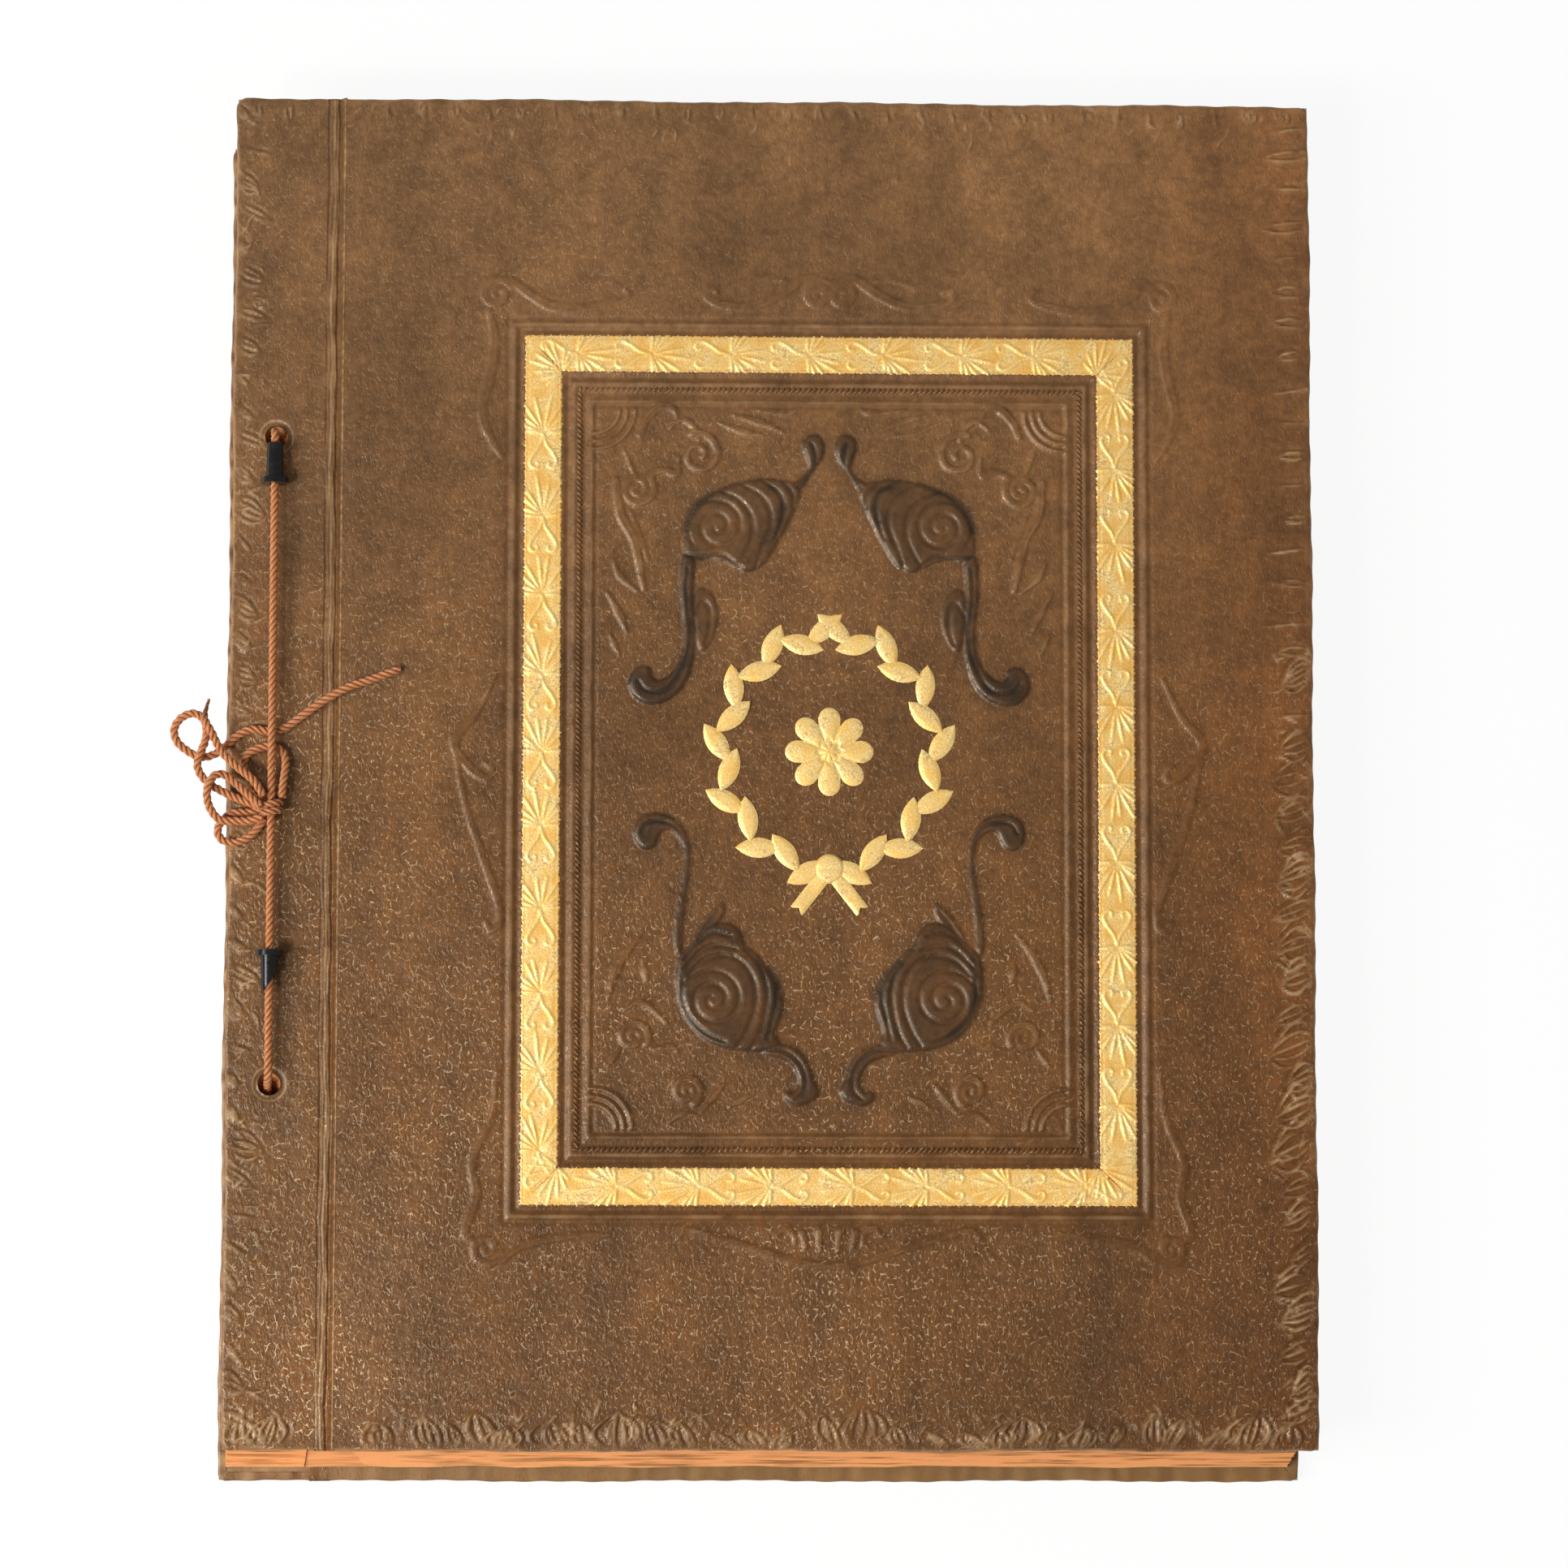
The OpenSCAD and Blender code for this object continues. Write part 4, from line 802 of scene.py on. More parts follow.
# faint shellwork outside the frame: points, half widths, rise
outerStrokes = [
    (spiral((-3.2, 134.5), 4.2, 0.8, 20, 1.6), [1.1, 0.7], 1.0),
    ([(-2.2, 138.8), (-7, 139), (-14, 134.5), (-22, 131.2), (-30, 131.5), (-34.5, 133.5), (-34.2, 136), (-32, 135.4)],
     [0.9, 1.4, 1.2, 0.9, 0.6], 0.9),
    ([(-12, 138.5), (-18, 139.2), (-24, 136.5)], [0.3, 1.0, 0.3], 0.7),
    (spiral((-94, 134), 4.6, 0.8, 30, 1.5), [1.1, 0.7], 0.9),
    ([(-90, 138), (-84, 133.5), (-78, 130.5), (-70, 130), (-62, 131.5), (-57, 133.5), (-58, 136)],
     [1.0, 1.4, 1.0, 0.5], 0.9),
    ([(-96, 129), (-94.5, 120), (-96, 110), (-98, 100), (-95, 92), (-92.5, 88)], [0.9, 1.4, 1.1, 0.6], 0.8),
    ([(-93.5, 26), (-99, 15), (-105, 7), (-101, 0), (-96, -3.5), (-94.5, -1), (-96.5, 1)],
     [0.4, 1.1, 1.2, 0.8, 0.5], 0.9),
    ([(-105, 6), (-102, -10), (-97, -25), (-92.5, -38), (-92, -44), (-94.5, -46), (-96, -43.5)],
     [0.5, 1.0, 0.9, 0.6], 0.8),
    ([(-92.5, -85), (-94, -98), (-99, -110), (-98, -120), (-101, -130), (-97, -133)], [0.4, 1.0, 1.2, 0.8], 0.8),
    (spiral((-95, -134.5), 4.4, 0.8, -20, -1.5), [1.1, 0.7], 0.9),
    ([(-91, -138), (-86, -134), (-78, -132), (-66, -130.5), (-60, -131)], [0.9, 1.2, 0.8, 0.3], 0.8),
    ([(-42, -131.5), (-40, -129.5), (-36, -130), (-25, -133), (-14, -136.5), (-6, -138.6), (0, -139.4)],
     [0.5, 0.8, 1.0, 1.0, 0.9], 0.9),
    ([(-15, -131), (-12.5, -128.8), (-10, -130), (-9.5, -133)], [0.5, 0.9, 0.4], 0.9),
    ([(-7.5, -130), (-6.5, -134)], [0.9, 0.5], 1.0),
    ([(-3, -129.5), (-2.5, -135)], [0.9, 0.5], 1.0),
]
origin = np.array([gridU[0], gridV[0]])
middle = np.array([album["frameX"], 0.0])
sides = (np.array([1.0, 1.0]), np.array([-1.0, 1.0]))


def pressFront(key, points, halfWidth, rise, power=0.8):
    pressStroke(relief[key], origin, step, points, halfWidth, rise, power)


def dense(points):
    return np.asarray(points) if len(points) > 40 else smoothRoute(points, 6)


def pressShape(field, points, rise, edge, stainAndShade):
    p = np.asarray(points, float)
    for k in range(2):
        nextP = np.roll(p, -1, axis=0)
        p = np.stack([0.75 * p + 0.25 * nextP, 0.25 * p + 0.75 * nextP], 1).reshape(-1, 2)
    low = np.floor((p.min(0) - origin) / step).astype(int) - 1
    high = np.ceil((p.max(0) - origin) / step).astype(int) + 2
    x = origin[0] + step * np.arange(low[0], high[0])[:, None]
    y = origin[1] + step * np.arange(low[1], high[1])[None, :]
    inside = np.zeros(np.broadcast(x, y).shape, bool)
    gap = np.full(inside.shape, 1e9)
    for a, b in zip(p, np.roll(p, -1, axis=0)):
        run = b - a
        t = np.clip(((x - a[0]) * run[0] + (y - a[1]) * run[1]) / max(run @ run, 1e-9), 0, 1)
        gap = np.minimum(gap, np.hypot(x - a[0] - t * run[0], y - a[1] - t * run[1]))
        if a[1] != b[1]:
            inside ^= ((a[1] > y) != (b[1] > y)) & (x < a[0] + (y - a[1]) * run[0] / run[1])
    gap = np.where(inside, gap, 0)
    dome = np.sqrt(1 - (1 - np.clip(gap / edge, 0, 1)) ** 2)
    box = (slice(low[0], high[0]), slice(low[1], high[1]))
    field[box] = np.maximum(field[box], rise * reliefSet["scrollRise"] * dome)
    dark = np.where(inside, stainAndShade * (0.75 + 0.6 * np.exp(-gap / 1.5)), 0)
    relief["stainAndShade"][box] = np.maximum(relief["stainAndShade"][box], dark)


body, ribs = np.zeros_like(relief["height"]), np.zeros_like(relief["height"])
for side in sides:
    for points, rise, edge, stainAndShade in scrollShapes:
        pressShape(body, middle + np.array(points) * side, rise, edge, stainAndShade)
    for points in scrollRibs:
        line = middle + dense(points) * side
        pressStroke(ribs, origin, step, line, [0.5, 0.95, 0.9, 0.5], reliefSet["ribDepth"], 0.7)
    for points, width, stainAndShade in scrollSmoke:
        pressFront("stainAndShade", middle + dense(points) * side, width, stainAndShade, 1.2)
relief["height"] += body - np.minimum(ribs, 0.7 * body)
uu, vv = np.meshgrid(gridU, gridV, indexing="ij")
for x, y in scrollEyes:   # paler in the middle of each scroll
    for side in sides:
        r = np.hypot(uu - middle[0] - x * side[0], vv - y)
        relief["stainAndShade"] *= 1 - 0.3 * np.exp(-(r / 7.5) ** 4)
blind, vein = np.zeros_like(relief["height"]), np.zeros_like(relief["height"])
for strokes, share in ((blindStrokes, reliefSet["blindRise"]), (outerStrokes, reliefSet["outerRise"])):
    for points, width, rise in strokes:
        for side in sides:
            line, wide = middle + dense(points) * side, np.atleast_1d(width)
            pressStroke(blind, origin, step, line, 1.2 * wide, rise * share, 0.7)
            pressStroke(vein, origin, step, line, 0.45 * wide, 0.5 * rise * share)
relief["height"] += np.where(body > 0.05, 0, blind - np.minimum(vein, 0.7 * blind))
# quarter arcs in the panel's corners
cornerSet = {"at": (66.2, 101.2), "radii": (6.8, 9.0, 11.2), "points": 24}
for radius in cornerSet["radii"]:
    for sx in (-1, 1):
        for sy in (-1, 1):
            a = np.radians(np.linspace(0, 90, cornerSet["points"]))
            arc = np.stack([radius * np.cos(a) - cornerSet["at"][0], cornerSet["at"][1] - radius * np.sin(a)], 1)
            arc = arc * np.array([-sx, sy])
            pressFront("height", middle + arc, [0.5, 0.9, 0.5], reliefSet["blindRise"] * 0.9)
# the stain is lighter on the crests of the relief, partly rubbed through and partly a painted highlight
crestHighlight = np.clip(relief["height"] - softened(relief["height"], 3), 0, 0.25) / 0.25
relief["stainAndShade"] = np.clip(0.65 * relief["stainAndShade"] + 0.55 * softened(relief["stainAndShade"], 5), 0, 0.95) * (1.05 - 0.4 * crestHighlight)
print("scrolls are drawn")


def pressRing(halfW, halfHigh, width, rise):
    loop = [(-halfW, -halfHigh), (halfW, -halfHigh), (halfW, halfHigh), (-halfW, halfHigh), (-halfW, -halfHigh)]
    for a, b in zip(loop[:-1], loop[1:]):
        pressFront("height", [middle + a, middle + b], width, rise, 1.0)


# fine lines inside and outside the gilt band: distance, half width, rise
bandIn = (album["frameW"] / 2 - album["frameBand"], album["frameH"] / 2 - album["frameBand"])
for inset, width, rise in ((1.6, 1.0, -0.5), (3.4, 0.8, 0.3), (6.3, 0.7, -0.3), (8.4, 0.8, 0.35), (9.6, 0.6, -0.25)):
    pressRing(bandIn[0] - inset, bandIn[1] - inset, width, rise)
for outset, width, rise in ((1.2, 1.0, -0.45), (3.0, 0.9, 0.3), (4.6, 0.7, -0.25)):
    pressRing(album["frameW"] / 2 + outset, album["frameH"] / 2 + outset, width, rise)

# marks pressed along the four edges: pads of curved creases at the tail and the lower fore-edge, a few creases
# elsewhere, all paler on their crests, partly rubbed and partly a painted highlight
laceSet = {"pitch": 9.4, "spread": 1.5, "foreDeep": 13.0, "foreSlant": 5.0, "tailDeep": 11.0, "spineDeep": 8.0,
           "headDeep": 7.0, "padsBelow": 15.0, "hingeGap": 6.0}
rng = np.random.default_rng(7)


def laceMark(start, inward, along, deep, slant, share=1.0, creases=(3, 7)):
    tip = np.array(start, float) + inward * deep * rng.uniform(0.8, 1.1) + along * rng.uniform(-1.0, 1.0)
    foot = np.array(start, float) + inward * rng.uniform(-0.6, 1.4) + along * slant * rng.uniform(0.5, 1.3)
    u = np.linspace(0, 1, 10)[:, None]
    count = rng.integers(*creases)
    rise = reliefSet["laceRise"] * share
    for k in range(count):
        bulge = (k - (count - 1) / 2) * laceSet["spread"] * rng.uniform(0.7, 1.3) * deep / 7
        line = tip + u * (foot - tip) * rng.uniform(0.8, 1.0) + np.sin(u * math.pi * 0.85) * bulge * along
        pressFront("height", line, [0.3, 0.65, 0.55, 0.3], [0.1, rise, 0.8 * rise, 0.1])
        pressFront("height", line + along * laceSet["spread"] * 0.7, [0.3, 0.8, 0.6, 0.2],
                    [-0.1, -0.8 * rise, -0.5 * rise, -0.05])
        # paler crests: rubbed, and partly a painted highlight
        rubbed = np.array([0.3, rng.uniform(0.7, 1.2), 0.9, 0.3])
        pressFront("wear", line, [0.2, 0.55, 0.5, 0.2], rubbed * share)


rightward, upward = np.array([1.0, 0]), np.array([0, 1.0])
hingeMid = album["stripW"] + album["hingeW"] / 2
for v in np.arange(-halfH + 7, halfH - 6, laceSet["pitch"]):
    padded = v < laceSet["padsBelow"] + rng.uniform(-20, 20)
    laceMark((album["coverW"], v + rng.uniform(-1.5, 1.5)), -rightward, upward,
             laceSet["foreDeep"] * rng.uniform(0.75, 1.1), laceSet["foreSlant"] if padded else 0.8,
             rng.uniform(0.75, 1.05), (3, 7) if padded else (1, 3))
    laceMark((0, v), rightward, upward, laceSet["spineDeep"] * rng.uniform(0.6, 1.3), 4.0, 0.6, (1, 5))
for u in np.arange(6, album["coverW"] - 5, laceSet["pitch"]):
    if abs(u - hingeMid) > laceSet["hingeGap"]:
        laceMark((u, halfH), -upward, rightward, laceSet["headDeep"], -1.5, 0.6, (1, 4))
        laceMark((u + rng.uniform(-2, 2), -halfH), upward, rightward, laceSet["tailDeep"] * rng.uniform(0.6, 1.15),
                 rng.uniform(-6, 6), rng.uniform(0.6, 1.0))
# loose creases among the marks: for each edge its start, its run, the way in, how many
creaseSet = {"deep": 9.0, "long": (3.0, 9.0), "wide": (0.25, 0.5), "rise": (0.25, 0.5), "fan": 60.0, "bow": 1.2,
             "hingeGap": 8.0}
creaseEdges = (((0, -halfH), (album["coverW"], 0), 90, 130), ((album["coverW"], -halfH), (0, 1.2 * halfH), 180, 80),
               ((0, -halfH), (0, 2 * halfH), 0, 90), ((0, halfH), (album["coverW"], 0), 270, 50))
for start, run, inward, count in creaseEdges:
    for k in range(count):
        way = math.radians(inward)
        at = np.array(start) + rng.uniform(0, 1) * np.array(run)
        at = at + rng.uniform(0.3, creaseSet["deep"]) * np.array([math.cos(way), math.sin(way)])
        way += math.radians(rng.uniform(-1, 1) * creaseSet["fan"])
        ahead, aside = np.array([math.cos(way), math.sin(way)]), np.array([-math.sin(way), math.cos(way)])
        u = np.linspace(0, 1, 7)[:, None]
        line = at + u * ahead * rng.uniform(*creaseSet["long"])
        line = line + np.sin(u * math.pi) * aside * rng.uniform(-creaseSet["bow"], creaseSet["bow"])
        wide, rise = rng.uniform(*creaseSet["wide"]), rng.uniform(*creaseSet["rise"])
        if abs(at[0] - hingeMid) > creaseSet["hingeGap"]:
            pressFront("height", line, [0.2, wide, 0.2], [0.05, rise, 0.05])
            # paler along the crease: partly rubbed, partly a painted highlight
            pressFront("wear", line, [0.2, wide, 0.2], [0.2, 1.0, 0.2])
# pressed rings round the two holes, and a soft wave over the whole skin
for y in album["holeYs"]:
    r = np.hypot(uu - album["holeX"], vv - y)
    relief["height"] -= 0.35 * np.exp(-((r - 3.9) / 0.7) ** 2)
    relief["wear"] = np.maximum(relief["wear"], 0.9 * np.exp(-((r - 4.7) / 0.4) ** 2))
waveSet = {"count": 14, "longMm": 70, "rise": 0.035}
wave = np.zeros_like(uu)
for k in range(waveSet["count"]):
    fx, fy = rng.normal(0, 1 / waveSet["longMm"], 2)
    wave += np.sin(2 * math.pi * (fx * uu + fy * vv) + rng.uniform(0, 6.28)) * waveSet["rise"]
relief["height"] += wave
# paler on the crests of the undyed relief, a painted highlight, and rubbed pale near the edges
ridge = np.clip(relief["height"] - softened(relief["height"], 6), 0, 0.4) / 0.4
edgeGap = np.minimum(np.minimum(uu, album["coverW"] - uu), halfH - np.abs(vv))
edgeWear = 0.5 * np.exp(-np.clip(edgeGap, 0, None) / 1.6)
relief["wear"] = np.clip(np.maximum(relief["wear"], 0.45 * ridge * (relief["stainAndShade"] < 0.2)) + edgeWear, 0, 1)
slopeU, slopeV = np.gradient(relief["height"], step)
relief["pressed"] = np.clip(softened(np.minimum(np.abs(relief["height"] - wave) * 5, 1), 2), 0, 1)
plain = {"height": wave * 0.8, "stainAndShade": np.zeros_like(uu), "pressed": np.zeros_like(uu), "wear": edgeWear}


def sample(field, u, v):
    a = np.clip((np.asarray(u, float) - gridU[0]) / step, 0, len(gridU) - 1.001)
    b = np.clip((np.asarray(v, float) - gridV[0]) / step, 0, len(gridV) - 1.001)
    i, j = a.astype(int), b.astype(int)
    a, b = a - i, b - j
    return ((1 - a) * (1 - b) * field[i, j] + a * (1 - b) * field[i + 1, j]
            + (1 - a) * b * field[i, j + 1] + a * b * field[i + 1, j + 1])


def gridFaces(nu, nv, keep=None, flip=False):
    index = np.arange(nu * nv).reshape(nu, nv)
    quads = np.stack([index[:-1, :-1], index[1:, :-1], index[1:, 1:], index[:-1, 1:]], -1)
    if keep is not None:
        quads = quads[keep]
    quads = quads.reshape(-1, 4)
    return quads[:, ::-1] if flip else quads


def spaced(a, b, gap):
    return np.linspace(a, b, max(2, int(round((b - a) / gap)) + 1))


def fieldFace(u, v, fields, top, holes=False, flip=False, rise=1.0):
    pu, pv = (a.copy() for a in np.meshgrid(u, v, indexing="ij"))
    keep = None
    if holes:
        radius = album["holeD"] / 2
        cu, cv = (pu[:-1, :-1] + pu[1:, 1:]) / 2, (pv[:-1, :-1] + pv[1:, 1:]) / 2
        keep = np.ones(cu.shape, bool)
        for y in album["holeYs"]:
            keep &= np.hypot(cu - album["holeX"], cv - y) > radius
        for y in album["holeYs"]:
            r = np.hypot(pu - album["holeX"], pv - y)
            near = r < radius + 0.45 * (u[1] - u[0])
            scale = np.where(near, radius / np.maximum(r, 1e-6), 1)
            pu = album["holeX"] + (pu - album["holeX"]) * scale
            pv = y + (pv - y) * scale
    z = top + rise * sample(fields["height"], pu, pv)
    points = np.stack([pu.ravel(), pv.ravel(), z.ravel()], 1)
    marks = {key: sample(fields[key], pu, pv).ravel() for key in ("stainAndShade", "wear", "pressed")}
    return points, gridFaces(len(u), len(v), keep, flip), marks


def joinParts(parts):
    points, faces, marks, start = [], [], {"stainAndShade": [], "wear": [], "pressed": []}, 0
    for p, f, m in parts:
        points.append(p)
        faces.extend((np.asarray(f) + start).tolist())
        for key in marks:
            marks[key].append(m.get(key, np.zeros(len(p))))
        start += len(p)
    return np.vstack(points), faces, {key: np.concatenate(value) for key, value in marks.items()}


# outer 3 mm of a cover or strip: over the edge, down the side, under, and in as a mitred turn-in
edgeSet = {"lip": 3.0, "round": 0.9, "underRound": 0.7, "stepMm": 0.7}


def wrapEdge(loop, thick, turnIn, fields, top):
    lip, r = edgeSet["lip"], edgeSet["round"]
    under = edgeSet["underRound"] * r
    inner, outward, gap = [], [], []
    for i in range(len(loop) - 1):
        a, b = np.array(loop[i], float), np.array(loop[i + 1], float)
        run = (b - a) / np.linalg.norm(b - a)
        normal = np.array([-run[1], run[0]])
        for t in spaced(0, np.linalg.norm(b - a), edgeSet["stepMm"]):
            inner.append(a + t * run)
            outward.append(normal)
            fromCorner = []
            if i > 0:
                fromCorner.append(t)
            if i < len(loop) - 2:
                fromCorner.append(np.linalg.norm(b - a) - t)
            gap.append(min(fromCorner) if fromCorner else 1e9)
        if i < len(loop) - 2:
            c = np.array(loop[i + 2], float)
            nextRun = (c - b) / np.linalg.norm(c - b)
            nextNormal = np.array([-nextRun[1], nextRun[0]])
            for k in np.linspace(0, 1, 9)[1:-1]:
                n = normal * math.cos(k * math.pi / 2) + nextNormal * math.sin(k * math.pi / 2)
                inner.append(b)
                outward.append(n)
                gap.append(0.0)
    inner, outward, gap = np.array(inner), np.array(outward), np.array(gap)
    # rows across the edge: how far out, how far down, how much of the skin's relief they keep
    over = [(x, 0.0, 1.0) for x in np.linspace(0, lip - r, 4)]
    over += [(lip - r + r * math.sin(a), r * (1 - math.cos(a)), 1 - a / 2) for a in np.radians((22, 45, 68, 90))]
    over += [(lip, d, 0.15) for d in np.linspace(r, thick - under, 4)[1:]]
    over += [(lip - under * (1 - math.cos(a)), thick - under * (1 - math.sin(a)), 0.0)
             for a in np.radians((35, 65, 90))]
    rows = []
    run = np.arange(len(inner)) * edgeSet["stepMm"]
    ripple = (0.4 + 0.1 * np.sin(run * 2 * math.pi / laceSet["pitch"]) + 0.2 * np.sin(run / 14.3 + 1)
              + 0.1 * np.sin(run / 4.7))
    for out, down, hold in over:
        xy = inner + outward * (out - ripple * out / lip)[:, None]
        z = top - down + hold * sample(fields["height"], xy[:, 0], xy[:, 1])
        rows.append(np.column_stack([xy, z]))
    if turnIn:
        start = lip - under
        deep = np.minimum(turnIn - lip, gap)
        for share in np.linspace(0.25, 1, 6):
            out = start + (-deep - start) * share
            xy = inner + outward * out[:, None]
            rows.append(np.column_stack([xy, np.full(len(inner), top - thick)]))
        rows.append(rows[-1] + np.array([0, 0, album["leatherT"]]))
    points = np.stack(rows, 1)
    n, m = points.shape[:2]
    points = points.reshape(-1, 3)
    row = np.tile(np.arange(m), n)   # the skin's own rows come first, then the edge, then the turn-in
    skinWear = sample(fields["wear"], points[:, 0], points[:, 1])
    uneven = 0.3 * np.sin(run * 0.9 + 2 * np.sin(run / 7)) * np.sin(run * 0.21 + 1)
    wear = np.where(row < 4, np.maximum(0.25, skinWear), 0.5) + np.where(row > 10, np.repeat(uneven, m), 0)
    marks = {"stainAndShade": np.zeros(len(points)), "wear": np.where(row == 0, skinWear, wear),
             "pressed": np.where(row > 6, 1.0, 0.4)}
    return points, gridFaces(n, m), marks


def placed(points, f, turnedAt=None):
    out = np.array(points, float)
    if turnedAt is not None:
        out[:, 2] = turnedAt - out[:, 2]
    return out + layerShift(f)


def flipped(faces):
    return [list(f)[::-1] for f in faces]


# front cover: relief skin in parts round the gilt band, then its wrapped edge
coverTop = album["frontCoverTop"]
lip = edgeSet["lip"]
underBand = 0.7   # the skin runs this far under the gilt band
outerHalf = (album["frameW"] / 2 - underBand, album["frameH"] / 2 - underBand)
innerHalf = (bandIn[0] + underBand, bandIn[1] + underBand)
fx = album["frameX"]
skinParts = {
    # from and to across, from and to upwards, grid step
    "coverSkinSpineSide": (coverX, fx - outerHalf[0], -halfH + lip, halfH - lip, 0.6),
    "coverSkinForeSide": (fx + outerHalf[0], album["coverW"] - lip, -halfH + lip, halfH - lip, 0.6),
    "coverSkinHead": (fx - outerHalf[0], fx + outerHalf[0], outerHalf[1], halfH - lip, 0.6),
    "coverSkinTail": (fx - outerHalf[0], fx + outerHalf[0], -halfH + lip, -outerHalf[1], 0.6),
    "coverPanelHead": (fx - innerHalf[0], fx + innerHalf[0], 0.0, innerHalf[1], 0.5),
    "coverPanelTail": (fx - innerHalf[0], fx + innerHalf[0], -innerHalf[1], 0.0, 0.5),
}
frontPieces = []
for name, (u0, u1, v0, v1, gap) in skinParts.items():
    points, faces, marks = fieldFace(spaced(u0, u1, gap), spaced(v0, v1, gap), relief, coverTop)
    at = (points[:, 0], points[:, 1])
    normals = np.stack([-sample(slopeU, *at), -sample(slopeV, *at), np.ones(len(points))], 1)
    normals /= np.linalg.norm(normals, axis=1)[:, None]
    frontPieces.append(makeMesh(name, placed(points, 1), faces, coverLeather, marks, normals))
coverLoop = [(coverX, halfH - lip), (album["coverW"] - lip, halfH - lip), (album["coverW"] - lip, -halfH + lip),
             (coverX, -halfH + lip)]
points, faces, marks = wrapEdge(coverLoop, album["coverT"], album["turnIn"], relief, coverTop)
frontPieces.append(makeMesh("coverEdgeTurnedIn", placed(points, 1), faces, coverLeather, marks))
for piece in frontPieces:
    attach(piece, "front_cover")
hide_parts("front_cover_leather")

# back cover: the same shell turned over, plain
backTop = album["coverT"]
points, faces, marks = fieldFace(spaced(coverX, album["coverW"] - lip, 1.3), spaced(-halfH + lip, halfH - lip, 1.3),
                                 plain, backTop, rise=0.0)
backSkin = makeMesh("backCoverSkin", placed(points, 0, backTop), flipped(faces), coverLeather, marks)
points, faces, marks = wrapEdge(coverLoop, album["coverT"], album["turnIn"], plain, backTop)
points[:, 2] = np.clip(points[:, 2], 0, backTop)
backEdge = makeMesh("backCoverEdgeTurnedIn", placed(points, 0, backTop), flipped(faces), innerLeather, marks)
for piece in (backSkin, backEdge):
    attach(piece, "back_cover")
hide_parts("back_cover_leather")


# binding strips: both faces with the punched holes, the wrapped edge and the holes' walls
stripSet = {"faceStep": 0.5, "innerStep": 1.0, "innerWear": 0.6, "wallSides": 32, "wallDepths": (0.2, 1.2),
            "wallShade": 0.4}


def stripShell(name, f, top, fields, turnedAt=None):
    w, sides = album["stripW"], stripSet["wallSides"]
    low, high = -halfH + lip, halfH - lip
    loop = [(w, low), (lip, low), (lip, high), (w, high)]
    upper = fieldFace(spaced(lip, w, stripSet["faceStep"]), spaced(low, high, stripSet["faceStep"]), fields, top,
                      holes=True)
    under = fieldFace(spaced(lip, w, stripSet["innerStep"]), spaced(low, high, stripSet["innerStep"]), plain,
                      top - album["stripT"], holes=True, flip=True, rise=0.0)
    under[2]["wear"][:], under[2]["pressed"][:] = stripSet["innerWear"], 1.0
    edge = wrapEdge(loop, album["stripT"], lip, fields, top)
    walls = []
    a = np.linspace(0, 2 * math.pi, sides + 1)[:-1]
    depths = stripSet["wallDepths"] + (album["stripT"],)
    for y in album["holeYs"]:
        ring = np.column_stack([album["holeX"] + album["holeD"] / 2 * np.cos(a), y + album["holeD"] / 2 * np.sin(a)])
        rows = np.vstack([np.column_stack([ring, np.full(sides, top - d)]) for d in depths])
        quads = [(k + sides * r, (k + 1) % sides + sides * r, (k + 1) % sides + sides * (r + 1), k + sides * (r + 1))
                 for r in (0, 1) for k in range(sides)]
        # painted shade: the holes' walls are darker
        walls.append((rows, np.array(quads), {"stainAndShade": np.full(len(rows), stripSet["wallShade"])}))
    points, faces, marks = joinParts([upper, under, edge] + walls)
    if turnedAt is not None:
        faces = flipped(faces)
    return makeMesh(name, placed(points, f, turnedAt), faces, coverLeather, marks)


frontStrip = stripShell("frontStripSkin", 1, album["frontStripTop"], relief)
backStrip = stripShell("backStripSkin", 0, album["stripT"], plain, album["backStripZ"] + album["stripT"])
for piece, node in ((frontStrip, "front_strip_leather"), (backStrip, "back_strip_leather")):
    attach(piece, "binding")
    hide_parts(node)


# hinges: creased leather with two grooves and a rubbed ridge, bending between strip and cover
hingeSet = {"step": (0.22, 0.9), "endGap": 0.4, "endFade": 14, "liningT": 0.45,
            "creases": ((0.07, -0.35, 0.05), (0.2, 0.32, 0.07), (0.38, 0.4, 0.06), (0.52, 0.3, 0.05),
                        (0.66, -0.4, 0.07), (0.93, 0.25, 0.08))}   # where across, rise, half width


# faces that close a band's two ends between two of its layers
def endFaces(nu, nv, above, below):
    faces = []
    for j in (0, nv - 1):
        for i in range(nu - 1):
            a, b = i * nv + j, (i + 1) * nv + j
            quad = [a + above, b + above, b + below, a + below]
            faces.append(quad[::-1] if j == 0 else quad)
    return faces


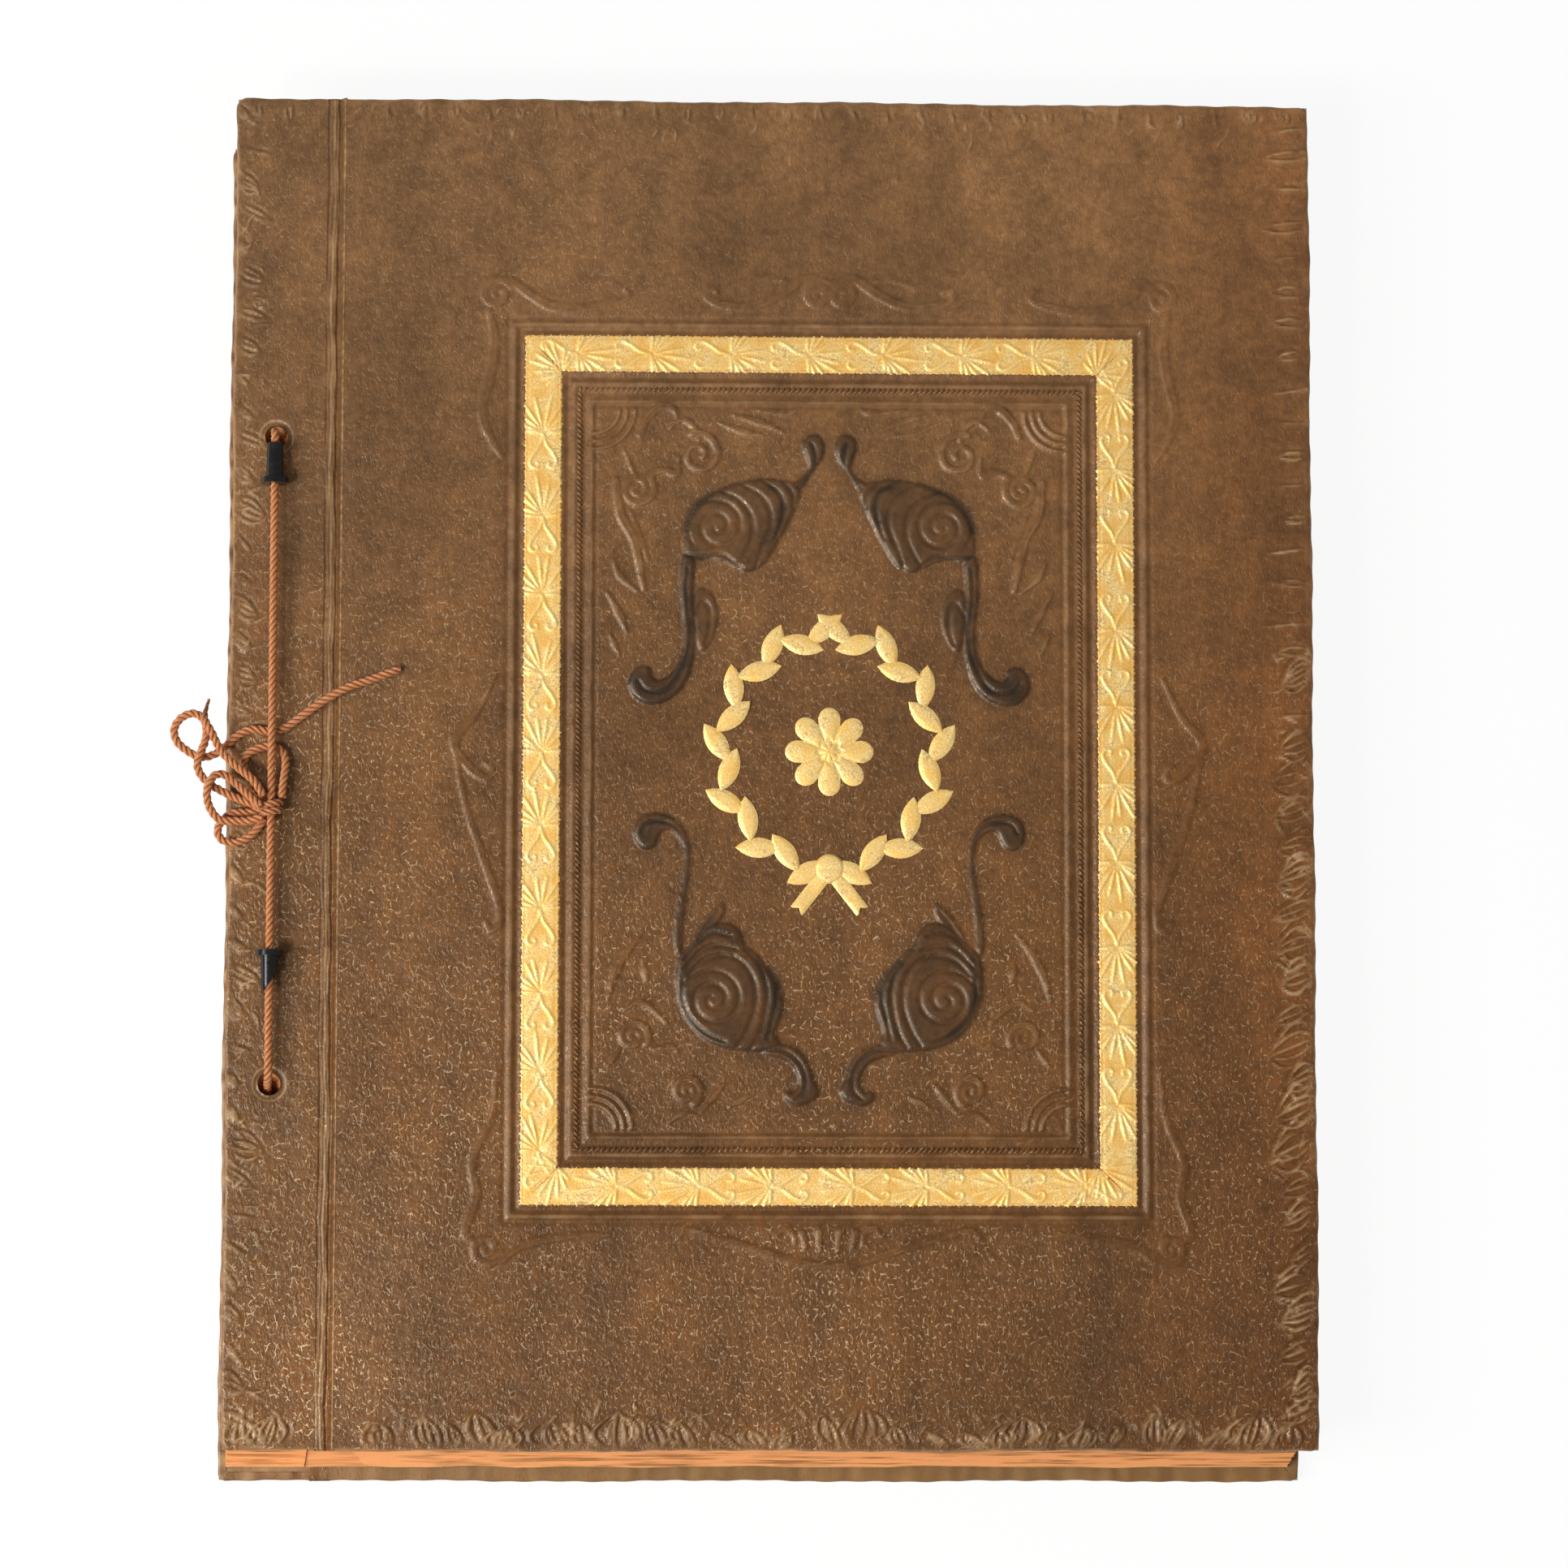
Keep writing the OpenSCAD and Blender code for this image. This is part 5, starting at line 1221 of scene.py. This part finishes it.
def hingeBand(name, f, low, high, innerLow, innerHigh, fields, turnedAt=None):
    u = spaced(album["stripW"], coverX, hingeSet["step"][0])
    v = spaced(-halfH + hingeSet["endGap"], halfH - hingeSet["endGap"], hingeSet["step"][1])
    pu, pv = np.meshgrid(u, v, indexing="ij")
    t = (pu - u[0]) / album["hingeW"]
    s = np.clip((t - 0.62) / 0.36, 0, 1)
    fold = low + (high - low) * s * s * (3 - 2 * s)
    wobble = (0.045 * np.sin(pv / 23.0) + 0.035 * np.sin(pv / 8.3 + 1) + 0.03 * np.sin(pv / 3.7 + t * 5)
              + 0.02 * np.sin(pv / 1.3 + t * 9))
    broken = 0.72 + 0.28 * np.sin(pv / 11.0 + t * 20) * np.sin(pv / 4.3)
    fade = np.clip(np.minimum(t, 1 - t) * hingeSet["endFade"], 0, 1)
    for at, deep, wide in hingeSet["creases"]:
        fold = fold + deep * broken * np.exp(-((t - at - wobble) / wide) ** 2) * fade
    ticks = np.clip(np.sin(pv * 2.1 + 1.5 * np.sin(pv / 6.1)), 0, 1) * np.exp(-((t - 0.9) / 0.1) ** 2)
    fold = fold + 0.16 * ticks * np.clip((1 - t) * hingeSet["endFade"], 0, 1)
    z = fold + sample(fields["height"], pu, pv)
    # paler along the rubbed ridge, and a painted highlight as a row of glints on the shoulder up to the cover
    wear = (0.5 * broken * np.exp(-((t - 0.36 - wobble) / 0.2) ** 2)
            + (0.3 + 0.4 * ticks) * np.exp(-((t - 0.93) / 0.07) ** 2) + 0.1).ravel()
    # painted shade: darker in the two grooves
    stainAndShade = (0.35 * np.exp(-((t - 0.07) / 0.05) ** 2) + 0.3 * np.exp(-((t - 0.66 - wobble) / 0.06) ** 2)).ravel()
    # joint lining on the leaf side, from the strip's inner face to the cover's
    inner = innerLow + (innerHigh - innerLow) * t * t * (3 - 2 * t) + 0.25 * np.exp(-((t - 0.5) / 0.2) ** 2)
    nu, nv = pu.shape
    layer = nu * nv
    parts = []
    for top, thick, marks in ((z, album["leatherT"], {"stainAndShade": np.r_[stainAndShade, stainAndShade], "wear": np.r_[wear, wear],
                                                      "pressed": np.full(2 * layer, 0.6)}),
                              (inner + hingeSet["liningT"], hingeSet["liningT"],
                               {"wear": np.full(2 * layer, 0.5), "pressed": np.full(2 * layer, 0.5)})):
        points = np.vstack([np.stack([pu.ravel(), pv.ravel(), (top - down).ravel()], 1) for down in (0.0, thick)])
        faces = gridFaces(nu, nv).tolist() + (gridFaces(nu, nv, flip=True) + layer).tolist()
        parts.append((points, np.array(faces + endFaces(nu, nv, 0, layer)), marks))
    points, faces, marks = joinParts(parts)
    faces += endFaces(nu, nv, layer, 2 * layer)   # close the fold's two ends
    if turnedAt is not None:
        faces = flipped(faces)
    return makeMesh(name, placed(points, f, turnedAt), faces, coverLeather, marks)


frontHinge = hingeBand("frontHingeCreased", 1, album["frontStripTop"], coverTop,
                       album["frontStripTop"] - album["stripT"], coverTop - album["coverT"], relief)
backHinge = hingeBand("backHingeCreased", 0, 0.0, album["backStripZ"], -album["stripT"],
                      album["backStripZ"] - album["coverT"], plain, album["backStripZ"])
for piece, node, cover, f, z in ((frontHinge, "front_hinge_leather", "front_cover", 1, 0.029),
                                 (backHinge, "back_hinge_leather", "back_cover", 0, 0.001)):
    x = layerShift(f)[0]
    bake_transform(piece)
    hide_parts(node)
print("leather is laid")


# gilt band: palmettes and curled leaves in low relief, in four mitred runs
bandSet = {"step": 0.36, "rise": 0.42, "base": 0.16, "periodMm": 21.5, "fanMm": 11.0,
           "petals": ((82, 0.4), (62, 0.56), (44, 0.76), (27, 0.92), (9, 1.0))}   # angle either side, length
bandRng = np.random.default_rng(19)


def bandFan(field, origin, spacing, at, up, size, rise):
    side = np.array([-up[1], up[0]])
    for a, share in [(-a, share) for a, share in bandSet["petals"]] + list(bandSet["petals"][::-1]):
        a += bandRng.uniform(-4, 4)
        share *= bandRng.uniform(0.8, 1.1)
        way = up * math.cos(math.radians(a)) + side * math.sin(math.radians(a))
        u = np.linspace(0.12, 1, 8)[:, None]
        line = at + u * size * share * way + (u ** 2) * side * math.sin(math.radians(a)) * 1.1
        pressStroke(field, origin, spacing, line, [0.22, 0.36, 0.52, 0.36], [0.4 * rise, rise, rise, 0.4 * rise])


def giltBand():
    halfW, halfHigh, band, s = album["frameW"] / 2, album["frameH"] / 2, album["frameBand"], bandSet["step"]
    parts = []
    for turns in range(4):
        long = (halfW, halfHigh)[turns % 2]
        across = (halfHigh, halfW)[turns % 2]
        x = spaced(-long, long, s)
        y = spaced(0, band, s)
        field = np.zeros((len(x), len(y)))
        start = np.array([x[0], 0.0])
        gap = x[1] - x[0]
        count = int(round(2 * (long - band) / bandSet["periodMm"]))
        period = 2 * (long - band) / count
        for k in range(count):
            at = -long + band + period * (k + 0.2) + bandRng.uniform(-1.2, 1.2)
            bandFan(field, start, gap, np.array([at, band / 2]), rightward, bandSet["fanMm"], bandSet["rise"])
            for d in (-1, 1):
                curl = np.array([(at, 0), (at - 3.0, d * 0.8), (at - 5.6, d * 2.6), (at - 8.2, d * 3.8),
                                 (at - 9.8, d * 2.8), (at - 9.4, d * 1.4), (at - 8.2, d * 1.6)])
                curl = curl + np.array([0, band / 2])
                pressStroke(field, start, gap, smoothRoute(curl, 5), [0.3, 0.55, 0.45, 0.3], bandSet["rise"] * 0.8)
        for d in (-1, 1):
            bandFan(field, start, gap, np.array([d * (long - band), band]), np.array([d * 0.7, -0.7]),
                    bandSet["fanMm"], bandSet["rise"])
        px, py = np.meshgrid(x, y, indexing="ij")
        mitre = np.minimum(long, long - py)
        px = np.where(np.abs(px) > mitre, np.sign(px) * mitre, px)
        rag = 0.16 * np.sin(px * 5.1 + turns) + 0.14 * np.sin(px * 2.3 + 1.7 * turns) + 0.1 * np.sin(px * 11.3)
        offs = across - py + np.where(py < 1e-6, rag, np.where(py > band - 1e-6, -rag, 0.0))
        border = np.minimum(py, band - py)
        z = bandSet["base"] + field + np.where(border < 1e-6, -0.3, 0) - 0.1 * np.exp(-((border - 0.9) / 0.4) ** 2)
        angle = -turns * math.pi / 2
        gx = px * math.cos(angle) - offs * math.sin(angle)
        gy = px * math.sin(angle) + offs * math.cos(angle)
        gx, gy = fx + gx.ravel(), gy.ravel()
        points = np.stack([gx, gy, coverTop + z.ravel() + sample(wave, gx, gy)], 1)
        quads = [q for q in gridFaces(len(x), len(y), flip=True).tolist()
                 if np.linalg.norm(points[q[0]] - points[q[2]]) > 0.05]   # leaves out what the mitres press flat
        marks = {"wear": np.clip(1.2 - border.ravel() / 1.2, 0, 1) - field.ravel() * 1.2,
                 # pressed: the ground between the strokes, where the gilt paints shade
                 "pressed": np.clip(1 - field.ravel() / bandSet["rise"] * 1.6, 0, 1)}
        parts.append((points, np.array(quads), marks))
    points, faces, marks = joinParts(parts)
    return makeMesh("giltBandPalmettes", placed(points, 1), faces, gilt, marks)


band = giltBand()
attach(band, "front_cover")
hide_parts("gilt_frame")

# wreath: domed gilt leaves set round an oval, with a rosette in the middle
wreathSet = {"rx": 30.0, "ry": 33.0, "leafLong": 13.0, "leafWide": 5.7, "leafRise": 0.45, "leafGrid": (9, 7),
             "leaves": 26, "lift": 34.0, "out": 0.22, "up": 4.5, "overlap": 0.12, "above": 0.2}


def domedLeaf(name, long, wide, rise):
    rows, cols = wreathSet["leafGrid"]
    points, faces = [], []
    for i in range(rows):
        t = i / (rows - 1)
        half = wide / 2 * math.sin(math.pi * t) ** 0.8 + 0.02
        for j in range(cols):
            s = 2 * j / (cols - 1) - 1
            fold = rise * (1 - s * s) * (0.35 + 0.65 * math.sin(math.pi * t)) - 0.28 * rise * math.exp(-(s / 0.16) ** 2)
            points.append((long * (t - 0.5), half * s, fold - 0.12 * (abs(s) > 0.99)))
    for i in range(rows - 1):
        for j in range(cols - 1):
            a = i * cols + j
            faces.append((a, a + cols, a + cols + 1, a + 1))
    return makeMesh(name, points, faces, gilt)


def wreathTree(leaf):
    tree, given = newTree("giltWreath", [
        ("Half width", "NodeSocketFloat", 0.03), ("Half height", "NodeSocketFloat", 0.033),
        ("Leaves", "NodeSocketInt", 26), ("Lift", "NodeSocketFloat", 0.6), ("Out", "NodeSocketFloat", 0.003),
        ("Material", "NodeSocketMaterial", None)])
    made = {"index": addNode(tree, "GeometryNodeInputIndex"), "count": given["Leaves"],
            "halfWide": given["Half width"], "halfHigh": given["Half height"], "lift": given["Lift"],
            "out": given["Out"]}
    # each leaf's angle round the oval, the side it is on, and its lean outwards or inwards by turns
    for key, operation, *terms in (
            ("near", "ADD", "index", 0.5), ("part", "DIVIDE", "near", "count"),
            ("turn", "MULTIPLY_ADD", "part", 2 * math.pi, -math.pi / 2), ("cosine", "COSINE", "turn"),
            ("sine", "SINE", "turn"), ("x", "MULTIPLY", "cosine", "halfWide"), ("y", "MULTIPLY", "sine", "halfHigh"),
            ("right", "LESS_THAN", "turn", math.pi / 2), ("side", "MULTIPLY_ADD", "right", 2.0, -1.0),
            ("last", "SUBTRACT", "count", 1.0), ("fromEnd", "SUBTRACT", "last", "index"),
            ("rank", "MINIMUM", "index", "fromEnd"), ("odd", "MODULO", "rank", 2.0),
            ("swing", "MULTIPLY_ADD", "odd", 2.0, -1.0), ("lean", "MULTIPLY_ADD", "swing", "lift", math.pi / 2),
            ("yaw", "MULTIPLY_ADD", "side", "lean", "turn"), ("yawX", "COSINE", "yaw"), ("yawY", "SINE", "yaw"),
            ("toX", "MULTIPLY_ADD", "yawX", "out", "x"), ("toY", "MULTIPLY_ADD", "yawY", "out", "y"),
            ("layer", "MULTIPLY", "odd", wreathSet["overlap"] * mm)):
        inputs = {k: made.get(term, term) for k, term in enumerate(terms)}
        made[key] = addNode(tree, "ShaderNodeMath", inputs, operation=operation)
    dots = addNode(tree, "GeometryNodePoints", {"Count": given["Leaves"]})
    spot = addNode(tree, "ShaderNodeCombineXYZ", {"X": made["toX"], "Y": made["toY"], "Z": made["layer"]})
    seats = addNode(tree, "GeometryNodeSetPosition", {"Geometry": dots, "Position": spot})
    facing = addNode(tree, "ShaderNodeCombineXYZ", {"Z": made["yaw"]})
    shape = addNode(tree, "GeometryNodeObjectInfo", {"Object": leaf}, transform_space="ORIGINAL")
    copies = addNode(tree, "GeometryNodeInstanceOnPoints", {"Points": seats, "Rotation": facing,
                                                            "Instance": shape.outputs["Geometry"]})
    solid = addNode(tree, "GeometryNodeRealizeInstances", {0: copies})
    done = addNode(tree, "GeometryNodeSetMaterial", {"Geometry": solid, "Material": given["Material"]})
    addNode(tree, "NodeGroupOutput", {0: done})
    return tree


def emptyHolder(name):
    holder = bpy.data.objects.new(name, bpy.data.meshes.new(name))
    scene.collection.objects.link(holder)
    return holder


def shiftMesh(piece, move):
    piece.data.transform(Matrix.Translation(np.asarray(move) * mm))
    return piece


# rope line round the panel: slanted beads pressed in the leather
ropeSet = {"inset": 4.9, "gap": 1.5, "bead": (1.2, 0.48, 0.5), "slant": 42.0}


def ropeTree():
    tree, given = newTree("ropeLine", [
        ("Gap", "NodeSocketFloat", 0.0015), ("Bead", "NodeSocketVector", None), ("Slant", "NodeSocketFloat", 0.7),
        ("Material", "NodeSocketMaterial", None)])
    even = addNode(tree, "GeometryNodeResampleCurve", {"Curve": given["Geometry"], "Length": given["Gap"]},
                   mode="LENGTH")
    axes = addNode(tree, "ShaderNodeSeparateXYZ", {0: addNode(tree, "GeometryNodeInputTangent")})
    way = addNode(tree, "ShaderNodeMath", {0: axes.outputs["Y"], 1: axes.outputs["X"]}, operation="ARCTAN2")
    yaw = addNode(tree, "ShaderNodeMath", {0: way, 1: given["Slant"]}, operation="ADD")
    facing = addNode(tree, "ShaderNodeCombineXYZ", {"Z": yaw})
    bead = addNode(tree, "GeometryNodeMeshUVSphere", {"Segments": 8, "Rings": 5, "Radius": 1.0})
    copies = addNode(tree, "GeometryNodeInstanceOnPoints", {"Points": even, "Instance": bead.outputs["Mesh"],
                                                            "Rotation": facing, "Scale": given["Bead"]})
    solid = addNode(tree, "GeometryNodeRealizeInstances", {0: copies})
    soft = addNode(tree, "GeometryNodeSetShadeSmooth", {0: solid})
    done = addNode(tree, "GeometryNodeSetMaterial", {"Geometry": soft, "Material": given["Material"]})
    addNode(tree, "NodeGroupOutput", {0: done})
    return tree


curve = bpy.data.curves.new("ropeRoute", "CURVE")
curve.dimensions = "3D"
spline = curve.splines.new("POLY")
spline.points.add(3)
spline.use_cyclic_u = True
ropeW, ropeH = bandIn[0] - ropeSet["inset"], bandIn[1] - ropeSet["inset"]
for point, (x, y) in zip(spline.points, ((-ropeW, -ropeH), (ropeW, -ropeH), (ropeW, ropeH), (-ropeW, ropeH))):
    point.co = (x * mm, y * mm, 0, 1)
holder = bpy.data.objects.new("ropeRoute", curve)
scene.collection.objects.link(holder)
useTree(holder, ropeTree(), {"Gap": ropeSet["gap"] * mm, "Bead": [b * mm for b in ropeSet["bead"]],
                             "Slant": math.radians(ropeSet["slant"]), "Material": coverLeather})
rope = shiftMesh(bakeNodes(holder, "panelRopeLine"), layerShift(1) + np.array([fx, 0, coverTop - 0.02]))
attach(rope, "front_cover")

leafShape = domedLeaf("wreathLeafShape", wreathSet["leafLong"], wreathSet["leafWide"], wreathSet["leafRise"])
holder = emptyHolder("wreathHolder")
useTree(holder, wreathTree(leafShape), {"Half width": wreathSet["rx"] * mm, "Half height": wreathSet["ry"] * mm,
                                        "Leaves": wreathSet["leaves"], "Lift": math.radians(wreathSet["lift"]),
                                        "Out": wreathSet["out"] * wreathSet["leafLong"] * mm, "Material": gilt})
wreath = bakeNodes(holder, "giltWreathLeaves")
bpy.data.objects.remove(leafShape)
wreathAt = layerShift(1) + np.array([fx, wreathSet["up"], coverTop + wreathSet["above"]])
shiftMesh(wreath, wreathAt)
wreath.data.shade_smooth()

# rosette: petals and a boss as one height field on rings
rosetteSet = {"petals": 8, "radius": 7.9, "lobe": 4.6, "rings": 26, "spokes": 96}


def discFaces(start, rings, spokes):
    faces = []
    for i in range(rings - 1):
        for j in range(spokes):
            a, b = start + i * spokes + j, start + i * spokes + (j + 1) % spokes
            faces.append((a, a + spokes, b + spokes) if i == 0 else (a, a + spokes, b + spokes, b))
    return faces


rings, spokes = rosetteSet["rings"], rosetteSet["spokes"]
points = []
for i in range(rings):
    s = i / (rings - 1)
    for j in range(spokes):
        a = 2 * math.pi * j / spokes
        petal = abs(math.cos(rosetteSet["petals"] * a / 2))
        r = (rosetteSet["radius"] + rosetteSet["lobe"] * petal ** 0.6) * s
        z = (0.5 * petal ** 0.5 * math.sin(math.pi * min(1, s * 1.02)) ** 0.7 * (s > 0.3)
             + 0.55 * math.exp(-(s / 0.2) ** 4))
        points.append((r * math.cos(a), r * math.sin(a), z - 0.15 * (i == rings - 1)))
faces = discFaces(0, rings, spokes)

# ribbon: two swallow-tailed ends and a knot at the wreath's foot
ribbonSet = {"long": 15.0, "wide": 4.2, "turn": 38.0, "rows": 15, "cols": 7, "knotRings": 9, "knotSpokes": 28}
rows, cols = ribbonSet["rows"], ribbonSet["cols"]
for side in (-1, 1):
    start = len(points)
    way = math.radians(side * ribbonSet["turn"] - 90)
    for i in range(rows):
        t = i / (rows - 1)
        for j in range(cols):
            s = 2 * j / (cols - 1) - 1
            notch = 0.3 * ribbonSet["wide"] * max(0, 1 - abs(s) / 0.6) if i == rows - 1 else 0
            x, y = ribbonSet["long"] * t - notch, ribbonSet["wide"] / 2 * s
            z = 0.22 + 0.16 * math.sin(9 * t) * (1 - s * s) - 0.3 * (abs(s) > 0.99)
            points.append((x * math.cos(way) - y * math.sin(way),
                           x * math.sin(way) + y * math.cos(way) - wreathSet["ry"], z))
    faces += [tuple(start + i * cols + j + k for k in (0, cols, cols + 1, 1))
              for i in range(rows - 1) for j in range(cols - 1)]
start = len(points)
rings, spokes = ribbonSet["knotRings"], ribbonSet["knotSpokes"]
for i in range(rings):
    s = i / (rings - 1)
    for j in range(spokes):
        a, r = 2 * math.pi * j / spokes, ribbonSet["wide"] * s
        z = (0.3 + 0.55 * math.sqrt(max(0, 1 - s ** 2)) - 0.45 * (i == rings - 1)
             - 0.12 * math.exp(-(math.sin(a) * r / 0.5) ** 2))
        points.append((r * math.cos(a), r * math.sin(a) - wreathSet["ry"], z))
faces += discFaces(start, rings, spokes)
rosette = makeMesh("giltRosetteRibbon", np.array(points) + wreathAt, faces, gilt)
for piece in (wreath, rosette):
    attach(piece, "front_cover")
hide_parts("gilt_wreath")
print("gilding is laid")


# leaves: thin sheets with a slight wave and uneven edges, each starting just short of its score
leafSet = {"count": 20, "thick": 0.3, "pitch": 1.05, "inset": 4.0, "scoreX": 33.0, "scoreStep": 0.5, "scoreGap": 0.6,
           "wave": 0.2, "waveMm": 111.1111111, "ragged": 0.45, "raggedMm": 16.66666667, "grid": (36, 64), "seedStep": 3.7}


def leafTree():
    tree, given = newTree("agedLeaf", [
        ("Length", "NodeSocketFloat", 0.27), ("Height", "NodeSocketFloat", 0.373),
        ("Thickness", "NodeSocketFloat", 0.0003), ("Wave", "NodeSocketFloat", 0.0002),
        ("Ragged", "NodeSocketFloat", 0.0004), ("Seed", "NodeSocketFloat", 1.0),
        ("Material", "NodeSocketMaterial", None)])
    sheet = addNode(tree, "GeometryNodeMeshGrid", {"Size X": 1.0, "Size Y": 1.0, "Vertices X": leafSet["grid"][0],
                                                 "Vertices Y": leafSet["grid"][1]})
    spot = addNode(tree, "GeometryNodeInputPosition")
    axes = addNode(tree, "ShaderNodeSeparateXYZ", {0: spot})
    t = addNode(tree, "ShaderNodeMath", {0: axes.outputs["X"], 1: 0.5}, operation="ADD")
    eased = addNode(tree, "ShaderNodeMath", {0: t, 1: 1.7}, operation="POWER")
    x = addNode(tree, "ShaderNodeMath", {0: eased, 1: given["Length"]}, operation="MULTIPLY")
    y = addNode(tree, "ShaderNodeMath", {0: axes.outputs["Y"], 1: given["Height"]}, operation="MULTIPLY")
    flat = addNode(tree, "ShaderNodeCombineXYZ", {"X": x, "Y": y})
    lift, jag = (addNode(tree, "ShaderNodeMapRange", {
        "Value": addNode(tree, "ShaderNodeTexNoise", {"Vector": flat, "W": given["Seed"], "Scale": scale,
                                                      "Detail": detail}, noise_dimensions="4D"),
        "From Min": 0.3, "From Max": 0.7, "To Min": -1.0})
        for scale, detail in ((1000 / leafSet["waveMm"], 1.0), (1000 / leafSet["raggedMm"], 3.0)))
    free = addNode(tree, "ShaderNodeMapRange", {"Value": t, "From Min": 0.1, "From Max": 0.5})
    tall = addNode(tree, "ShaderNodeMath", {0: lift, 1: free}, operation="MULTIPLY")
    z = addNode(tree, "ShaderNodeMath", {0: tall, 1: given["Wave"]}, operation="MULTIPLY")
    nib = addNode(tree, "ShaderNodeMath", {0: jag, 1: given["Ragged"]}, operation="MULTIPLY")
    foreEnd = addNode(tree, "ShaderNodeMath", {0: t, 1: 0.99}, operation="GREATER_THAN")
    tailEnd = addNode(tree, "ShaderNodeMath", {0: axes.outputs["Y"], 1: -0.495}, operation="LESS_THAN")
    headEnd = addNode(tree, "ShaderNodeMath", {0: axes.outputs["Y"], 1: 0.495}, operation="GREATER_THAN")
    bothEnds = addNode(tree, "ShaderNodeMath", {0: tailEnd, 1: headEnd}, operation="ADD")
    dx = addNode(tree, "ShaderNodeMath", {0: foreEnd, 1: nib, 2: x}, operation="MULTIPLY_ADD")
    dy = addNode(tree, "ShaderNodeMath", {0: bothEnds, 1: nib, 2: y}, operation="MULTIPLY_ADD")
    shaped = addNode(tree, "ShaderNodeCombineXYZ", {"X": dx, "Y": dy, "Z": z})
    ends = addNode(tree, "ShaderNodeMath", {0: foreEnd, 1: bothEnds}, operation="MAXIMUM")
    rim = addNode(tree, "GeometryNodeStoreNamedAttribute", {"Geometry": sheet.outputs["Mesh"], "Name": "edge",
                                                            "Value": ends}, data_type="FLOAT", domain="POINT")
    waved = addNode(tree, "GeometryNodeSetPosition", {"Geometry": rim, "Position": shaped})
    up = addNode(tree, "ShaderNodeCombineXYZ", {"Z": given["Thickness"]})
    raised = addNode(tree, "GeometryNodeExtrudeMesh", {"Mesh": waved, "Offset": up, "Offset Scale": 1.0,
                                                       "Individual": False}, mode="FACES")
    below = addNode(tree, "GeometryNodeFlipFaces", {0: waved})
    both = addNode(tree, "GeometryNodeJoinGeometry")
    tree.links.new(raised.outputs["Mesh"], both.inputs[0])
    tree.links.new(below.outputs[0], both.inputs[0])
    closed = addNode(tree, "GeometryNodeMergeByDistance", {"Geometry": both, "Distance": 0.00001})
    whole = addNode(tree, "GeometryNodeRealizeInstances", {0: closed})
    done = addNode(tree, "GeometryNodeSetMaterial", {"Geometry": whole, "Material": given["Material"]})
    addNode(tree, "NodeGroupOutput", {0: done})
    return tree


agedLeaf = leafTree()
for i in range(1, leafSet["count"] + 1):
    f = 1 - i / (leafSet["count"] + 1)
    score = leafSet["scoreX"] + leafSet["scoreStep"] * (i - 1)
    start = score - leafSet["scoreGap"]
    z = album["stackZ"] + (leafSet["count"] - i) * leafSet["pitch"]
    holder = emptyHolder("leafHolder")
    useTree(holder, agedLeaf, {"Length": (album["coverW"] - leafSet["inset"] - start) * mm,
                               "Height": (album["coverH"] - 2 * leafSet["inset"]) * mm,
                               "Thickness": leafSet["thick"] * mm, "Wave": leafSet["wave"] * mm,
                               "Ragged": leafSet["ragged"] * mm, "Seed": leafSet["seedStep"] * i,
                               "Material": leafPaper})
    leaf = bakeNodes(holder, "leafSheet_%02d" % i)
    place = layerShift(f) + np.array([start, 0, z])
    shiftMesh(leaf, place)
    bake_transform(leaf)
    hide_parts("leaf_%02d" % i)
for name, material in (("leaf_stubs", guardPaper), ("leaf_guards", guardPaper), ("front_lining", liningPaper),
                       ("back_lining", liningPaper), ("front_cover_board", greyBoard), ("back_cover_board", greyBoard),
                       ("front_strip_board", greyBoard), ("back_strip_board", greyBoard)):
    dressNode(name, material)
print("leaves are bound")
